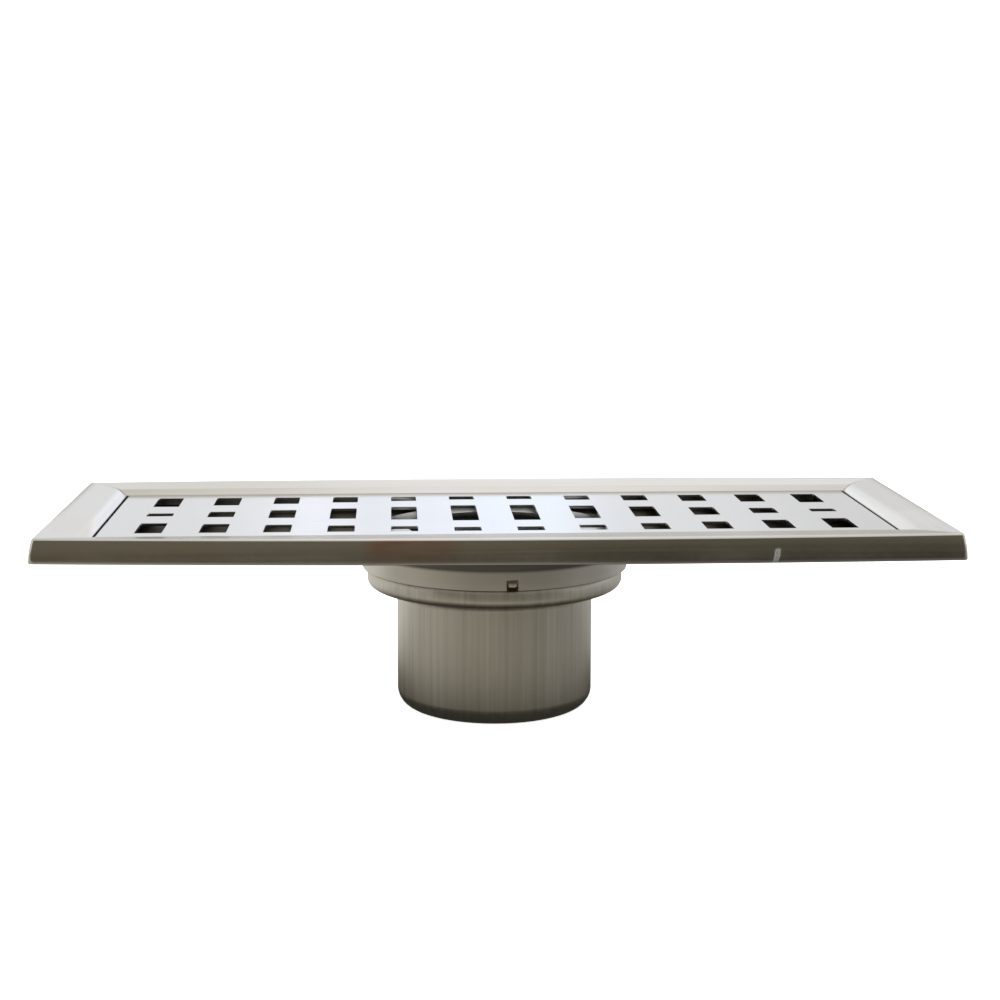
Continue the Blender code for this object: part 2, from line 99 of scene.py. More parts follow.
# Tray, collar and cup
TRAY_EDGE = 0.0012
TRAY_CORNER = 0.0016
TRAY_INNER_EDGE = 0.0004
TRAY_ASPECT = 2.5
COLLAR_FLARE = 0.003
COLLAR_FLARE_HEIGHT = 0.0058
COLLAR_FOOT = 0.0005
BEAD_RADIUS = 0.003
GROOVE_DEPTH = 0.0002
SHOULDER_FILLET = 0.0032
CUP_EDGE = 0.006
TAB_STEPS = 16
TAB_HOOD = (
    (0.0, 0.25), (0.42, 0.25), (0.44, 0.9), (0.5, 1.0),
    (0.66, 0.92), (0.84, 0.6), (0.96, 0.2), (1.0, 0.02),
)

# Outlet
NECK_RADIUS = 0.0439
PIPE_RADIUS = 0.014
SEAL_CLEARANCE = 0.0003

# Trap insert
WELL_TOP_RADIUS = 0.030
WELL_FLOOR_RADIUS = 0.029
BASKET_SLOTS = 12
BASKET_SLOT = (0.009, 0.026, 0.0045)
RING_WINDOWS = 8
RING_WINDOW_WIDTH = 0.012
RING_WINDOW_DEPTHS = (0.0125, 0.0215)
SEAL_WIDTH = 0.0036
SLOT_ROUND = 0.45
WINDOW_ROUND = 0.25
SEAL_ROUND = 0.35
BELL_EDGE = 0.003
SCREW_RADIUS = 0.0019
SCREW_BORE = 0.0022
SCREW_TIP = 0.7
SCREW_HEAD_ARCH = 0.6
THREAD_PITCH = 0.36
THREAD_ROOT = 0.84
CROSS_ARM = 0.52
CROSS_SLIT = 0.13
CROSS_TAPER = 0.75
CROSS_DEPTH = 0.62
CROSS_CLEARANCE = 0.2
NUT_STEPS = 72
NUT_CHAMFER = 0.6
CLIP_SHEET = 0.0008
CLIP_FOOT = 0.002
CLIP_BEND = 0.7
BAIL_LEG_X = 0.010
WIRE_BEND = 0.002
WIRE_STEPS = 16
WIRE_END = ((0.55, 0.0), (0.88, 0.14), (1.0, 0.5))

# Fineness
AROUND = 144
SMOOTH = math.radians(32)
SMOOTH_FOLD = math.radians(24)
SMOOTH_NUT = math.radians(20)
BEVELLED_ANGLE = math.radians(50)
LEAST_TURN = math.radians(14)
MOST_OF_HALF = 0.45
TOUCHING = 1e-7


# Outlines


def arc(centre, radius, start, end, steps=8):
    """Points along an arc from one angle to the other, in degrees, both ends included."""
    points = []
    for step in range(steps + 1):
        angle = math.radians(start + (end - start) * step / steps)
        points.append((centre[0] + radius * math.cos(angle), centre[1] + radius * math.sin(angle)))
    return points


def sheet_outline(path, thickness=SHEET):
    """Closes an open path into a sheet's cross-section, thickened on the path's right-hand side."""
    offset = []
    for index, (x, z) in enumerate(path):
        before = path[max(index - 1, 0)]
        after = path[min(index + 1, len(path) - 1)]
        normals = []
        for start, end in ((before, (x, z)), ((x, z), after)):
            length = math.hypot(end[0] - start[0], end[1] - start[1])
            if length > 0:
                normals.append(((end[1] - start[1]) / length, -(end[0] - start[0]) / length))
        mean = [sum(part) / len(normals) for part in zip(*normals)]
        square = mean[0] ** 2 + mean[1] ** 2
        offset.append((x + thickness * mean[0] / square, z + thickness * mean[1] / square))
    return path + offset[::-1]


def bend(start, corner, end, steps):
    """Points along the curve that rounds a corner between its two ends."""
    points = []
    for step in range(steps + 1):
        t = step / steps
        points.append(tuple(start * (1 - t) ** 2 + corner * 2 * t * (1 - t) + end * t**2))
    return points


def rounded(outline, radius, steps=3):
    """Rounds the corners of a closed outline, and leaves alone the points along its arcs."""
    made = []
    for index, point in enumerate(outline):
        corner = Vector(point)
        back = Vector(outline[index - 1]) - corner
        ahead = Vector(outline[(index + 1) % len(outline)]) - corner
        turn = math.pi - back.angle(ahead)
        if turn < LEAST_TURN:
            made.append(tuple(corner))
            continue
        reach = min(radius * math.tan(turn / 2), MOST_OF_HALF * back.length, MOST_OF_HALF * ahead.length)
        start = corner + back.normalized() * reach
        end = corner + ahead.normalized() * reach
        made += bend(start, corner, end, steps)
    return made


def rounded_rectangle(low, high, radius, height, steps=5):
    """Points of a rounded rectangle at one height, anticlockwise from its +X +Y corner."""
    points = []
    for quarter, (x, y) in enumerate(((high[0], high[1]), (low[0], high[1]), low, (high[0], low[1]))):
        towards_x = 1 if x == high[0] else -1
        towards_y = 1 if y == high[1] else -1
        centre = (x - towards_x * radius, y - towards_y * radius)
        for px, py in arc(centre, radius, 90 * quarter, 90 * quarter + 90, steps):
            points.append((px, py, height))
    return points


# Meshes


def loft(bm, sections):
    """Joins rings that have the same number of points, and returns the rings' vertices."""
    rings = [[bm.verts.new(point) for point in section] for section in sections]
    for lower, upper in zip(rings, rings[1:]):
        for index in range(len(lower)):
            after = (index + 1) % len(lower)
            bm.faces.new((lower[index], lower[after], upper[after], upper[index]))
    return rings


def solid_loft(bm, sections):
    """A loft with both its ends closed. Returns the rings' vertices."""
    rings = loft(bm, sections)
    bm.faces.new(rings[0][::-1])
    bm.faces.new(rings[-1])
    return rings


def placed(name, data):
    """A new object in the scene."""
    made = bpy.data.objects.new(name, data)
    bpy.context.scene.collection.objects.link(made)
    return made


def closed_object(bm, name):
    """A new object from closed shapes, with its faces turned outwards."""
    bmesh.ops.recalc_face_normals(bm, faces=bm.faces)
    mesh = bpy.data.meshes.new(name)
    bm.to_mesh(mesh)
    bm.free()
    return placed(name, mesh)


def ring_edges(bm, ring):
    return [bm.edges.get((ring[index - 1], ring[index])) for index in range(len(ring))]


def finished(bm, name, body, material, replaced, sharp=SMOOTH):
    """Turns a bmesh into a piece that rides on a body and stands for CAD nodes."""
    piece = closed_object(bm, name)
    piece.data.shade_smooth()
    piece.data.set_sharp_from_angle(angle=sharp)
    piece.data.materials.append(material)
    flat = piece.modifiers.new("flat_faces", "WEIGHTED_NORMAL")
    flat.keep_sharp = True
    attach(piece, body)
    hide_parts(*replaced)
    return piece


def lathe(bm, outline, steps=AROUND, closed=True):
    """Turns an outline of (radius, height) points about Z. An open one starts and ends on the axis."""
    rings = []
    for radius, height in outline:
        if radius < TOUCHING:
            rings.append([bm.verts.new((0.0, 0.0, height))])
            continue
        points = arc((0.0, 0.0), radius, 0, 360, steps)[:-1]
        rings.append([bm.verts.new((x, y, height)) for x, y in points])
    pairs = list(zip(rings, rings[1:]))
    if closed:
        pairs.append((rings[-1], rings[0]))
    for upper, lower in pairs:
        for index in range(steps):
            after = (index + 1) % steps
            corners = [upper[index % len(upper)], upper[after % len(upper)]]
            corners += [lower[after % len(lower)], lower[index % len(lower)]]
            bm.faces.new(list(dict.fromkeys(corners)))
    return rings


def extruded(bm, outline, low_x, high_x):
    """A solid whose outline of (y, z) points runs from one X to the other."""
    solid_loft(bm, [[(x, y, z) for y, z in outline] for x in (low_x, high_x)])


def turn_about_z(verts, angle):
    turning = Matrix.Rotation(angle, 3, "Z")
    for vert in verts:
        vert.co = turning @ vert.co


def cut(piece, bm, name):
    """Cuts closed shapes out of a piece for good, and shades the result again."""
    cutter = closed_object(bm, name)
    boolean = piece.modifiers.new(name, "BOOLEAN")
    boolean.operation = "DIFFERENCE"
    boolean.solver = "EXACT"
    boolean.object = cutter
    graph = bpy.context.evaluated_depsgraph_get()
    piece.data = bpy.data.meshes.new_from_object(piece.evaluated_get(graph))
    piece.modifiers.clear()
    bpy.data.objects.remove(cutter)
    piece.data.shade_smooth()
    piece.data.set_sharp_from_angle(angle=SMOOTH)


def bevelled(piece, width, segments=2):
    bevel = piece.modifiers.new("edges", "BEVEL")
    bevel.width = width
    bevel.segments = segments
    bevel.limit_method = "ANGLE"
    bevel.angle_limit = BEVELLED_ANGLE
    bevel.harden_normals = True


# Materials


def add_node(tree, kind, **settings):
    node = tree.nodes.new(kind)
    for name, value in settings.items():
        setattr(node, name, value)
    return node


def noise(tree, vector, scale, detail=3.0, roughness=0.5):
    """Noise over coordinates that are first stretched by a factor on each axis."""
    mapping = add_node(tree, "ShaderNodeMapping")
    mapping.inputs["Scale"].default_value = scale
    tree.links.new(vector, mapping.inputs["Vector"])
    texture = add_node(tree, "ShaderNodeTexNoise")
    texture.inputs["Scale"].default_value = 1.0
    texture.inputs["Detail"].default_value = detail
    texture.inputs["Roughness"].default_value = roughness
    tree.links.new(mapping.outputs["Vector"], texture.inputs["Vector"])
    return texture.outputs["Fac"]


def spread(tree, value, low, high, from_low=0.3, from_high=0.7):
    """Maps a value, usually a noise, onto a range, and stops at both ends of it."""
    node = add_node(tree, "ShaderNodeMapRange")
    node.inputs["From Min"].default_value = from_low
    node.inputs["From Max"].default_value = from_high
    node.inputs["To Min"].default_value = low
    node.inputs["To Max"].default_value = high
    tree.links.new(value, node.inputs["Value"])
    return node.outputs["Result"]


def maths(tree, operation, first, second=0.5):
    node = add_node(tree, "ShaderNodeMath", operation=operation)
    for socket, value in zip(node.inputs, (first, second)):
        if isinstance(value, (int, float)):
            socket.default_value = value
        else:
            tree.links.new(value, socket)
    return node.outputs["Value"]


def product(tree, first, *others):
    for other in others:
        first = maths(tree, "MULTIPLY", first, other)
    return first


def split(tree, vector):
    """The X, Y and Z of a vector."""
    parts = add_node(tree, "ShaderNodeSeparateXYZ")
    tree.links.new(vector, parts.inputs["Vector"])
    return tuple(parts.outputs)


def grey(tree, value):
    """The grey whose three channels are one value."""
    node = add_node(tree, "ShaderNodeCombineColor")
    for part in ("Red", "Green", "Blue"):
        tree.links.new(value, node.inputs[part])
    return node.outputs["Color"]


def mix_colours(tree, share, first, second, blend="MIX"):
    """Mixes two colours, each given as a socket or as three numbers."""
    node = add_node(tree, "ShaderNodeMix", data_type="RGBA", blend_type=blend)
    inputs = {"share": node.inputs[0], "first": node.inputs[6], "second": node.inputs[7]}
    for name, value in (("share", share), ("first", first), ("second", second)):
        if isinstance(value, bpy.types.NodeSocket):
            tree.links.new(value, inputs[name])
        elif isinstance(value, tuple):
            inputs[name].default_value = (*value, 1.0)
        else:
            inputs[name].default_value = value
    return node.outputs[2]


def multiplied(tree, first, second):
    return mix_colours(tree, 1.0, first, second, "MULTIPLY")


def new_material(name):
    made = bpy.data.materials.new(name)
    made.use_nodes = True
    tree = made.node_tree
    place = add_node(tree, "ShaderNodeTexCoord").outputs["Object"]
    return made, tree, tree.nodes["Principled BSDF"], place


def add_bump(tree, shader, height, strength, distance):
    bump = add_node(tree, "ShaderNodeBump")
    bump.inputs["Strength"].default_value = strength
    bump.inputs["Distance"].default_value = distance
    tree.links.new(height, bump.inputs["Height"])
    tree.links.new(bump.outputs["Normal"], shader.inputs["Normal"])


ALONG = 9.0
ACROSS = 700.0
GRAINS = {
    "x": (ALONG, ACROSS, ACROSS),
    "y": (ACROSS, ALONG, ACROSS),
    "upright": (ACROSS, ACROSS, ALONG),
}
ROUND_GRAIN = (ACROSS, ACROSS, 0.0)

# Detail and roughness of the noise that streaks a grain
STREAKS = (5.0, 0.62)

# Scale, detail and roughness of other noises
MARKS = ((24.0, 24.0, 24.0), 3.0, 0.55)
SPECKS = ((420.0, 420.0, 420.0), 2.0)

# What each noise adds to the steel's roughness
STREAK_ROUGHNESS = (-0.03, 0.03)
MARK_ROUGHNESS = (-0.02, 0.03)
SPECK_ROUGHNESS = (0.0, 0.02)

STEEL_BUMP = 0.35
SCUFF_ROUGHNESS = 0.3
SCUFF_DIRT = 0.8


def round_place(tree, place):
    """Coordinates of a turned piece: its radius, its height, and nothing around it."""
    flat = add_node(tree, "ShaderNodeVectorMath", operation="MULTIPLY")
    flat.inputs[1].default_value = (1.0, 1.0, 0.0)
    tree.links.new(place, flat.inputs[0])
    length = add_node(tree, "ShaderNodeVectorMath", operation="LENGTH")
    tree.links.new(flat.outputs["Vector"], length.inputs[0])
    joined = add_node(tree, "ShaderNodeCombineXYZ")
    tree.links.new(length.outputs["Value"], joined.inputs["X"])
    tree.links.new(split(tree, place)[2], joined.inputs["Y"])
    return joined.outputs["Vector"]


def steel(name, tone, roughness, grain, depth=0.000008, swing=0.05, smudge=0.04, scuff_and_reflection=False, painted_shade=None):
    """Brushed steel: fine streaks along its grain, with soft handling marks over them, and where asked
    painted shade below a height, and the front skirt's scuff with a painted red reflection.
    """
    made, tree, shader, place = new_material(name)
    if grain == "round":
        streaks = noise(tree, round_place(tree, place), ROUND_GRAIN, *STREAKS)
    else:
        streaks = noise(tree, place, GRAINS[grain], *STREAKS)
    marks = noise(tree, place, *MARKS)
    specks = noise(tree, place, *SPECKS)

    dark = tuple(part * (1 - swing) for part in tone)
    light = tuple(min(part * (1 + swing / 2), 1.0) for part in tone)
    brushed = mix_colours(tree, spread(tree, streaks, 0.0, 1.0), dark, light)
    shade = grey(tree, spread(tree, marks, 1 - smudge, 1 + smudge / 3))
    colour = multiplied(tree, brushed, shade)

    rough = maths(tree, "ADD", spread(tree, streaks, *STREAK_ROUGHNESS), roughness)
    rough = maths(tree, "ADD", rough, spread(tree, marks, *MARK_ROUGHNESS))
    rough = maths(tree, "ADD", rough, spread(tree, specks, *SPECK_ROUGHNESS))
    shader.inputs["Metallic"].default_value = 1.0
    if scuff_and_reflection:
        mark = scuff_mark(tree, place)
        colour = mix_colours(tree, mark, colour, SCUFF_TONE)
        # Painted reflection of something red, multiplied into the skirt's colour
        colour = mix_colours(tree, painted_red_reflection(tree, place), colour, RED_REFLECTION_TONE, "MULTIPLY")
        rough = maths(tree, "ADD", rough, product(tree, mark, SCUFF_ROUGHNESS))
        metal = maths(tree, "SUBTRACT", 1.0, product(tree, mark, SCUFF_DIRT))
        tree.links.new(metal, shader.inputs["Metallic"])
    # Painted shade: the colour darkens past a given height
    if painted_shade:
        colour = painted_shade_below(tree, place, colour, *painted_shade)
    tree.links.new(colour, shader.inputs["Base Color"])
    tree.links.new(rough, shader.inputs["Roughness"])
    add_bump(tree, shader, streaks, STEEL_BUMP, depth)
    return made


# Marks on the front skirt: a scuff, and a painted reflection of something red
FRONT_FACE = (-0.0597, -0.0595)
SKIRT_MIDDLE = 0.0640
SCUFF_X = 0.0874
SCUFF_HALF = 0.0007
SCUFF_LEAN = 0.16
SCUFF_WANDER = 0.0003
SCUFF_SIDES = (0.4, 1.6)
SCUFF_RAGS = ((300.0, 300.0, 500.0), 2.0)
SCUFF_SPOTS = ((900.0, 900.0, 900.0), 2.0)
SCUFF_COVER = (0.55, 0.95)
SCUFF_TOP = (0.0645, 0.0660)
SCUFF_TONE = (0.085, 0.075, 0.058)
PATCH_LEFT = (-0.046, -0.040)
PATCH_RIGHT = (-0.020, -0.012)
PATCH_HEIGHT = (0.0620, 0.0675)
PATCH_SPOTS = ((90.0, 90.0, 300.0), 2.0)
PATCH_COVER = (0.5, 1.0)
RED_REFLECTION_TONE = (1.0, 0.66, 0.60)


def scuff_mark(tree, place):
    """A soft mark, about 2 mm wide and leaning a little, down the right half of the front skirt."""
    x, y, z = split(tree, place)
    lean = product(tree, maths(tree, "SUBTRACT", z, SKIRT_MIDDLE), SCUFF_LEAN)
    wander = spread(tree, noise(tree, place, *SCUFF_RAGS), -SCUFF_WANDER, SCUFF_WANDER, 0.2, 0.8)
    away = maths(tree, "SUBTRACT", maths(tree, "SUBTRACT", x, SCUFF_X), maths(tree, "ADD", lean, wander))
    inner, outer = (SCUFF_HALF * share for share in SCUFF_SIDES)
    across = spread(tree, maths(tree, "ABSOLUTE", away), 1.0, 0.0, inner, outer)
    in_front = spread(tree, y, 1.0, 0.0, *FRONT_FACE)
    below = spread(tree, z, 1.0, 0.0, *SCUFF_TOP)
    patchy = spread(tree, noise(tree, place, *SCUFF_SPOTS), *SCUFF_COVER)
    return product(tree, across, in_front, below, patchy)


def painted_red_reflection(tree, place):
    """A faint painted reflection of something red, on the front skirt, left of its middle."""
    x, y, z = split(tree, place)
    rising = spread(tree, x, 0.0, 1.0, *PATCH_LEFT)
    falling = spread(tree, x, 1.0, 0.0, *PATCH_RIGHT)
    in_front = spread(tree, y, 1.0, 0.0, *FRONT_FACE)
    up = spread(tree, z, 0.3, 1.0, *PATCH_HEIGHT)
    mottle = spread(tree, noise(tree, place, *PATCH_SPOTS), *PATCH_COVER)
    return product(tree, rising, falling, in_front, up, mottle)


def painted_shade_below(tree, place, colour, full, painted_shade, share):
    """Painted shade: a colour that falls from the whole of itself at one height to a share of itself at
    another.
    """
    factor = grey(tree, spread(tree, split(tree, place)[2], 1.0, share, full, painted_shade))
    return multiplied(tree, colour, factor)


# Heat tint, painted shade and painted light of the locating tab, at shares of its height and half width
TAB_SHADED_FOOT = (0.020, 0.014, 0.010)
TAB_SHADED_EDGE = (0.065, 0.032, 0.012)
TAB_LIT_TOP = (0.50, 0.46, 0.34)
TAB_FACE_TURNS = (0.40, 0.50)
TAB_EDGE_TURNS = (0.75, 1.0)
TAB_EDGES = (0.60, 0.80)
TAB_GRAIN = ((1500.0, 1500.0, 400.0), 3.0, 0.6)
TAB_MOTTLE = 0.14
TAB_ROUGHNESS = (0.62, 0.45)
TAB_BUMP = (0.4, 0.00003)
TAB_METALLIC = 0.9


def tinted_and_shaded(name):
    """Steel burnt brown by welding, with painted light and shade: nearly black at its foot and brown at
    its side edges, where shade is painted, and straw coloured towards its top, where light is painted.
    """
    made, tree, shader, place = new_material(name)
    low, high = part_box("locating_tab")
    x, _, z = split(tree, place)
    mottle = spread(tree, noise(tree, place, *TAB_GRAIN), -TAB_MOTTLE, TAB_MOTTLE)
    height = maths(tree, "ADD", spread(tree, z, 0.0, 1.0, low.z, high.z), mottle)
    half = (high.x - low.x) / 2
    side = maths(tree, "ABSOLUTE", maths(tree, "SUBTRACT", x, low.x + half))
    side = spread(tree, side, 0.0, 1.0, half * TAB_EDGES[0], half * TAB_EDGES[1])
    # Painted shade at the foot and side edges, painted light towards the top
    face = mix_colours(tree, spread(tree, height, 0.0, 1.0, *TAB_FACE_TURNS), TAB_SHADED_FOOT, TAB_LIT_TOP)
    edge = mix_colours(tree, spread(tree, height, 0.0, 1.0, *TAB_EDGE_TURNS), TAB_SHADED_EDGE, TAB_LIT_TOP)
    tree.links.new(mix_colours(tree, side, face, edge), shader.inputs["Base Color"])
    tree.links.new(spread(tree, height, *TAB_ROUGHNESS), shader.inputs["Roughness"])
    add_bump(tree, shader, mottle, *TAB_BUMP)
    shader.inputs["Metallic"].default_value = TAB_METALLIC
    return made


PORES = ((1800.0, 1800.0, 1800.0), 3.0, 0.6)
DUST = ((60.0, 60.0, 60.0), 3.0, 0.6)
DUST_GAIN = 2.2
DUST_LIGHT = 0.01
DUST_SHARE = 0.7
RUBBER_ROUGHNESS = (0.55, 0.82)
RUBBER_BUMP = (0.3, 0.00005)


def rubber(name, tone):
    """Matt rubber with fine pores and a little dust on it."""
    made, tree, shader, place = new_material(name)
    pores = noise(tree, place, *PORES)
    dust = spread(tree, noise(tree, place, *DUST), 0.0, DUST_SHARE)
    lighter = tuple(part * DUST_GAIN + DUST_LIGHT for part in tone)
    tree.links.new(mix_colours(tree, dust, tone, lighter), shader.inputs["Base Color"])
    tree.links.new(spread(tree, pores, *RUBBER_ROUGHNESS), shader.inputs["Roughness"])
    add_bump(tree, shader, pores, *RUBBER_BUMP)
    return made


# Pieces


def rail_outline(width, height, soft):
    """The folded rail's section: skirt, edge, crown, dished face, crease, steep band and lip."""
    tilt = math.radians(CROWN_TILT)
    edge_z = -RAIL_CROWN + (RAIL_CROWN - RAIL_EDGE) * math.cos(tilt)
    path = []
    for step in range(SKIRT_STEPS):
        below = 1 - step / SKIRT_STEPS
        path.append((SKIRT_LEAN * (1 - below) ** 2, edge_z + (-height - edge_z) * below))
    path += arc((EDGE_X, edge_z), RAIL_EDGE, 180, 90 + CROWN_TILT)
    path += arc((CROWN_X, -RAIL_CROWN), RAIL_CROWN, 90 + CROWN_TILT, 90 - FACE_TILT)[1:]
    crease = Vector((FACE_INSET, -FACE_DROP))
    if soft:
        start = crease + (Vector(path[-1]) - crease).normalized() * END_CREASE
        end = crease + (Vector((width, -BAND_DROP)) - crease).normalized() * END_CREASE
        path += bend(start, crease, end, CREASE_STEPS)
    else:
        path.append(tuple(crease))
    path += [(width, -BAND_DROP), (width, -LIP_DROP)]
    return rounded(sheet_outline(path), FOLD)


def rail_stations():
    """Pairs of a share of the straight length and an angle round the corner, from end to end."""
    corner = [45 * step / CORNER_STEPS for step in range(1, CORNER_STEPS + 1)]
    stations = [(-1.0, angle) for angle in reversed(corner)]
    stations += [(2 * index / RAIL_SLICES - 1, 0.0) for index in range(RAIL_SLICES + 1)]
    return stations + [(1.0, angle) for angle in corner]


def frame_set(x, y, half_depth):
    """How far the thin frame's outer edge is bent up: its front sags and its back crowns a little."""
    front = FRONT_SET[0] + FRONT_SET[1] * x + FRONT_SET[2] * x**2
    back = BACK_SET[0] + BACK_SET[1] * x**2
    share = (y + half_depth) / (2 * half_depth)
    return front * (1 - share) + back * share


def face_height(inset):
    """The height of the rail's crown and dished face at an inset from its edge."""
    crown_end = CROWN_X + RAIL_CROWN * math.sin(math.radians(FACE_TILT))
    height = math.sqrt(RAIL_CROWN**2 - (min(inset, crown_end) - CROWN_X) ** 2) - RAIL_CROWN
    share = max((inset - crown_end) / (FACE_INSET - crown_end), 0.0)
    return height * (1 - share) - FACE_DROP * share


def front_dent(x, inset, width):
    """How much lower the front rail's face lies, which runs straight down from its edge to its crease."""
    if inset <= EDGE_X or inset >= width:
        return 0.0
    droop = FRONT_DROOP + FRONT_SWING[0] * min(x, 0.0) + FRONT_SWING[1] * max(x, 0.0)
    if inset >= FACE_INSET:
        return droop * (width - inset) / (width - FACE_INSET)
    edge = face_height(EDGE_X)
    share = (inset - EDGE_X) / (FACE_INSET - EDGE_X)
    return face_height(inset) - edge - (-FACE_DROP - droop - edge) * share


def bent(vert, half_x, half_y, width, height, top):
    """Where a point of the frame really is: its thin sheet isn't quite straight, flat or square."""
    x, y, z = vert.co
    inset = min(half_x - abs(x), half_y - abs(y))
    z += frame_set(x, y, half_y) * max(1 - inset / width, 0.0)
    towards_front = min(max((-y - DROOP_FADE[1]) / (DROOP_FADE[0] - DROOP_FADE[1]), 0.0), 1.0)
    z -= front_dent(x, inset, width) * towards_front
    up = 1 - min(max((top - vert.co.z) / height, 0.0), 1.0)
    if inset < SKIRT_ZONE:
        z -= (SKIRT_GROWTH[0] + SKIRT_GROWTH[1] * x) * towards_front * (1 - up)
    lean = END_LEAN * up**2 * max(1 - (half_x - abs(x)) / END_REACH, 0.0)
    return x - math.copysign(lean, x), y, z


def make_rail(name, sizes, quarter_turns, material):
    """Runs the outline along a side of the frame, round half of each corner, to a mitre."""
    half_x, half_y, width, height, top = sizes
    half_length, half_depth = (half_x, half_y) if quarter_turns % 2 == 0 else (half_y, half_x)
    bm = bmesh.new()
    outline = rail_outline(width, height, quarter_turns % 2 == 1)
    shrink = 1 - HAIRLINE / math.sqrt(2) / half_length
    sections = []
    for share, angle in rail_stations():
        section = []
        for inset, drop in outline:
            centre = max(inset, CORNER_RADIUS)
            radius = centre - inset
            turn = math.radians(angle)
            reach = (half_length - centre) * share + math.copysign(radius * math.sin(turn), share)
            out = centre - half_depth - radius * math.cos(turn)
            section.append((reach * shrink, out, top + drop))
        sections.append(section)
    rings = loft(bm, sections)
    bm.faces.new(rings[0])
    bm.faces.new(rings[-1][::-1])
    bmesh.ops.remove_doubles(bm, verts=bm.verts, dist=TOUCHING)
    turn_about_z(bm.verts, quarter_turns * math.pi / 2)
    for vert in bm.verts:
        vert.co = bent(vert, half_x, half_y, width, height, top)
    return finished(bm, f"{name}_sheet", "drain_body", material, [name])


def make_frame(along, across):
    low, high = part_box("rim_front")
    sizes = (high.x, -low.y, high.y - low.y, high.z - low.z, high.z)
    for quarter_turns, side in enumerate(("front", "right", "back", "left")):
        make_rail(f"rim_{side}", sizes, quarter_turns, across if quarter_turns % 2 else along)


def box_rings(half_x, half_y, corner, steps):
    """Rings of a rounded box, one for each (inset, height) pair of steps."""
    rings = []
    for inset, height in steps:
        low = (-half_x + inset, -half_y + inset)
        high = (half_x - inset, half_y - inset)
        rings.append(rounded_rectangle(low, high, max(corner - inset, corner / 4), height))
    return rings


def filled(bm, *rings):
    """Fills the flat area between an outer ring and the rings of its holes."""
    edges = [edge for ring in rings for edge in ring_edges(bm, ring)]
    bmesh.ops.triangle_fill(bm, use_beauty=False, edges=edges)


def slot_rows(column):
    """The (low, high) Y limits of the three slots in a column, counted outwards from the middle."""
    from_end = COLUMNS // 2 - 1 - column
    middle = MIDDLE_SLOT_SHORTEST + MIDDLE_SLOT_STEP * from_end
    inner_end = SLOT_FIELD_HALF - OUTER_SLOT_LONGEST + OUTER_SLOT_STEP * from_end
    return (
        (-SLOT_FIELD_HALF, -inner_end),
        (-middle / 2, middle / 2),
        (inner_end, SLOT_FIELD_HALF),
    )


def slot_plans():
    """The (low, high) plan corners of every slot in the grate."""
    plans = []
    for side in (-1, 1):
        for column in range(COLUMNS // 2):
            centre = side * COLUMN_PITCH * (column + 0.5)
            for low_y, high_y in slot_rows(column):
                plans.append(((centre - SLOT_WIDTH / 2, low_y), (centre + SLOT_WIDTH / 2, high_y)))
    return plans


def make_grate_plate(material):
    """A folded plate, whose slots have small round corners and slightly broken edges."""
    low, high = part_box("grate_plate")
    top, bottom = high.z, low.z
    under = top - SHEET
    inner = GRATE_EDGE - SHEET / 2
    bm = bmesh.new()
    steps = [(SHEET + inner, under)]
    steps += [(SHEET + inner - x, z) for x, z in arc((0.0, under - inner), inner, 90, 0, 4)][1:]
    steps += [(SHEET, bottom + LIP), (SHEET - LIP, bottom), (LIP, bottom), (0.0, bottom + LIP)]
    steps += [(GRATE_EDGE - x, z) for x, z in arc((0.0, top - GRATE_EDGE), GRATE_EDGE, 0, 90, 6)]
    rings = loft(bm, box_rings(high.x, high.y, GRATE_CORNER, steps))
    tops, unders = [rings[-1]], [rings[0]]
    slant = SLOT_BURR * BURR_SLANT
    levels = (
        (SLOT_BURR, top),
        (slant, top - slant),
        (0.0, top - SLOT_BURR),
        (0.0, under + slant),
        (slant, under),
    )
    for plan_low, plan_high in slot_plans():
        sections = []
        for grown, height in levels:
            wide_low = (plan_low[0] - grown, plan_low[1] - grown)
            wide_high = (plan_high[0] + grown, plan_high[1] + grown)
            sections.append(rounded_rectangle(wide_low, wide_high, SLOT_CORNER + grown, height))
        slot = loft(bm, sections)
        tops.append(slot[0])
        unders.append(slot[-1])
    filled(bm, *tops)
    filled(bm, *unders)
    finished(bm, "grate_plate_sheet", "grate", material, ["grate_plate"], SMOOTH_FOLD)


def make_legs(metal, pad_rubber):
    for end in ("front", "back"):
        for side in ("left", "right"):
            place = f"{end}_{side}"
            low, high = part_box(f"grate_leg_{place}")
            outward = 1 if end == "back" else -1
            outer, inner = (high.y, low.y) if outward > 0 else (low.y, high.y)
            path = [(outer, high.z), (outer, low.z), (inner, low.z)]
            bm = bmesh.new()
            extruded(bm, rounded(sheet_outline(path, SHEET * outward), FOLD), low.x, high.x)
            name = f"grate_leg_{place}"
            leg = finished(bm, f"{name}_bracket", "grate", metal, [name])
            bevelled(leg, LIP)

            low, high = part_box(f"leg_pad_{place}")
            bm = bmesh.new()
            bulge = (high.z - low.z) * PAD_BULGE
            slant = bulge * PAD_BULGE
            levels = [(bulge, low.z), (slant, low.z + slant), (0.0, low.z + bulge)]
            levels += [(0.0, high.z - bulge), (slant, high.z - slant), (bulge, high.z)]
            sections = []
            for inset, height in levels:
                corner_low = (low.x + inset, low.y + inset)
                corner_high = (high.x - inset, high.y - inset)
                sections.append(rounded_rectangle(corner_low, corner_high, PAD_CORNER - inset, height))
            solid_loft(bm, sections)
            name = f"leg_pad_{place}"
            finished(bm, f"{name}_rubber", "grate", pad_rubber, [name])


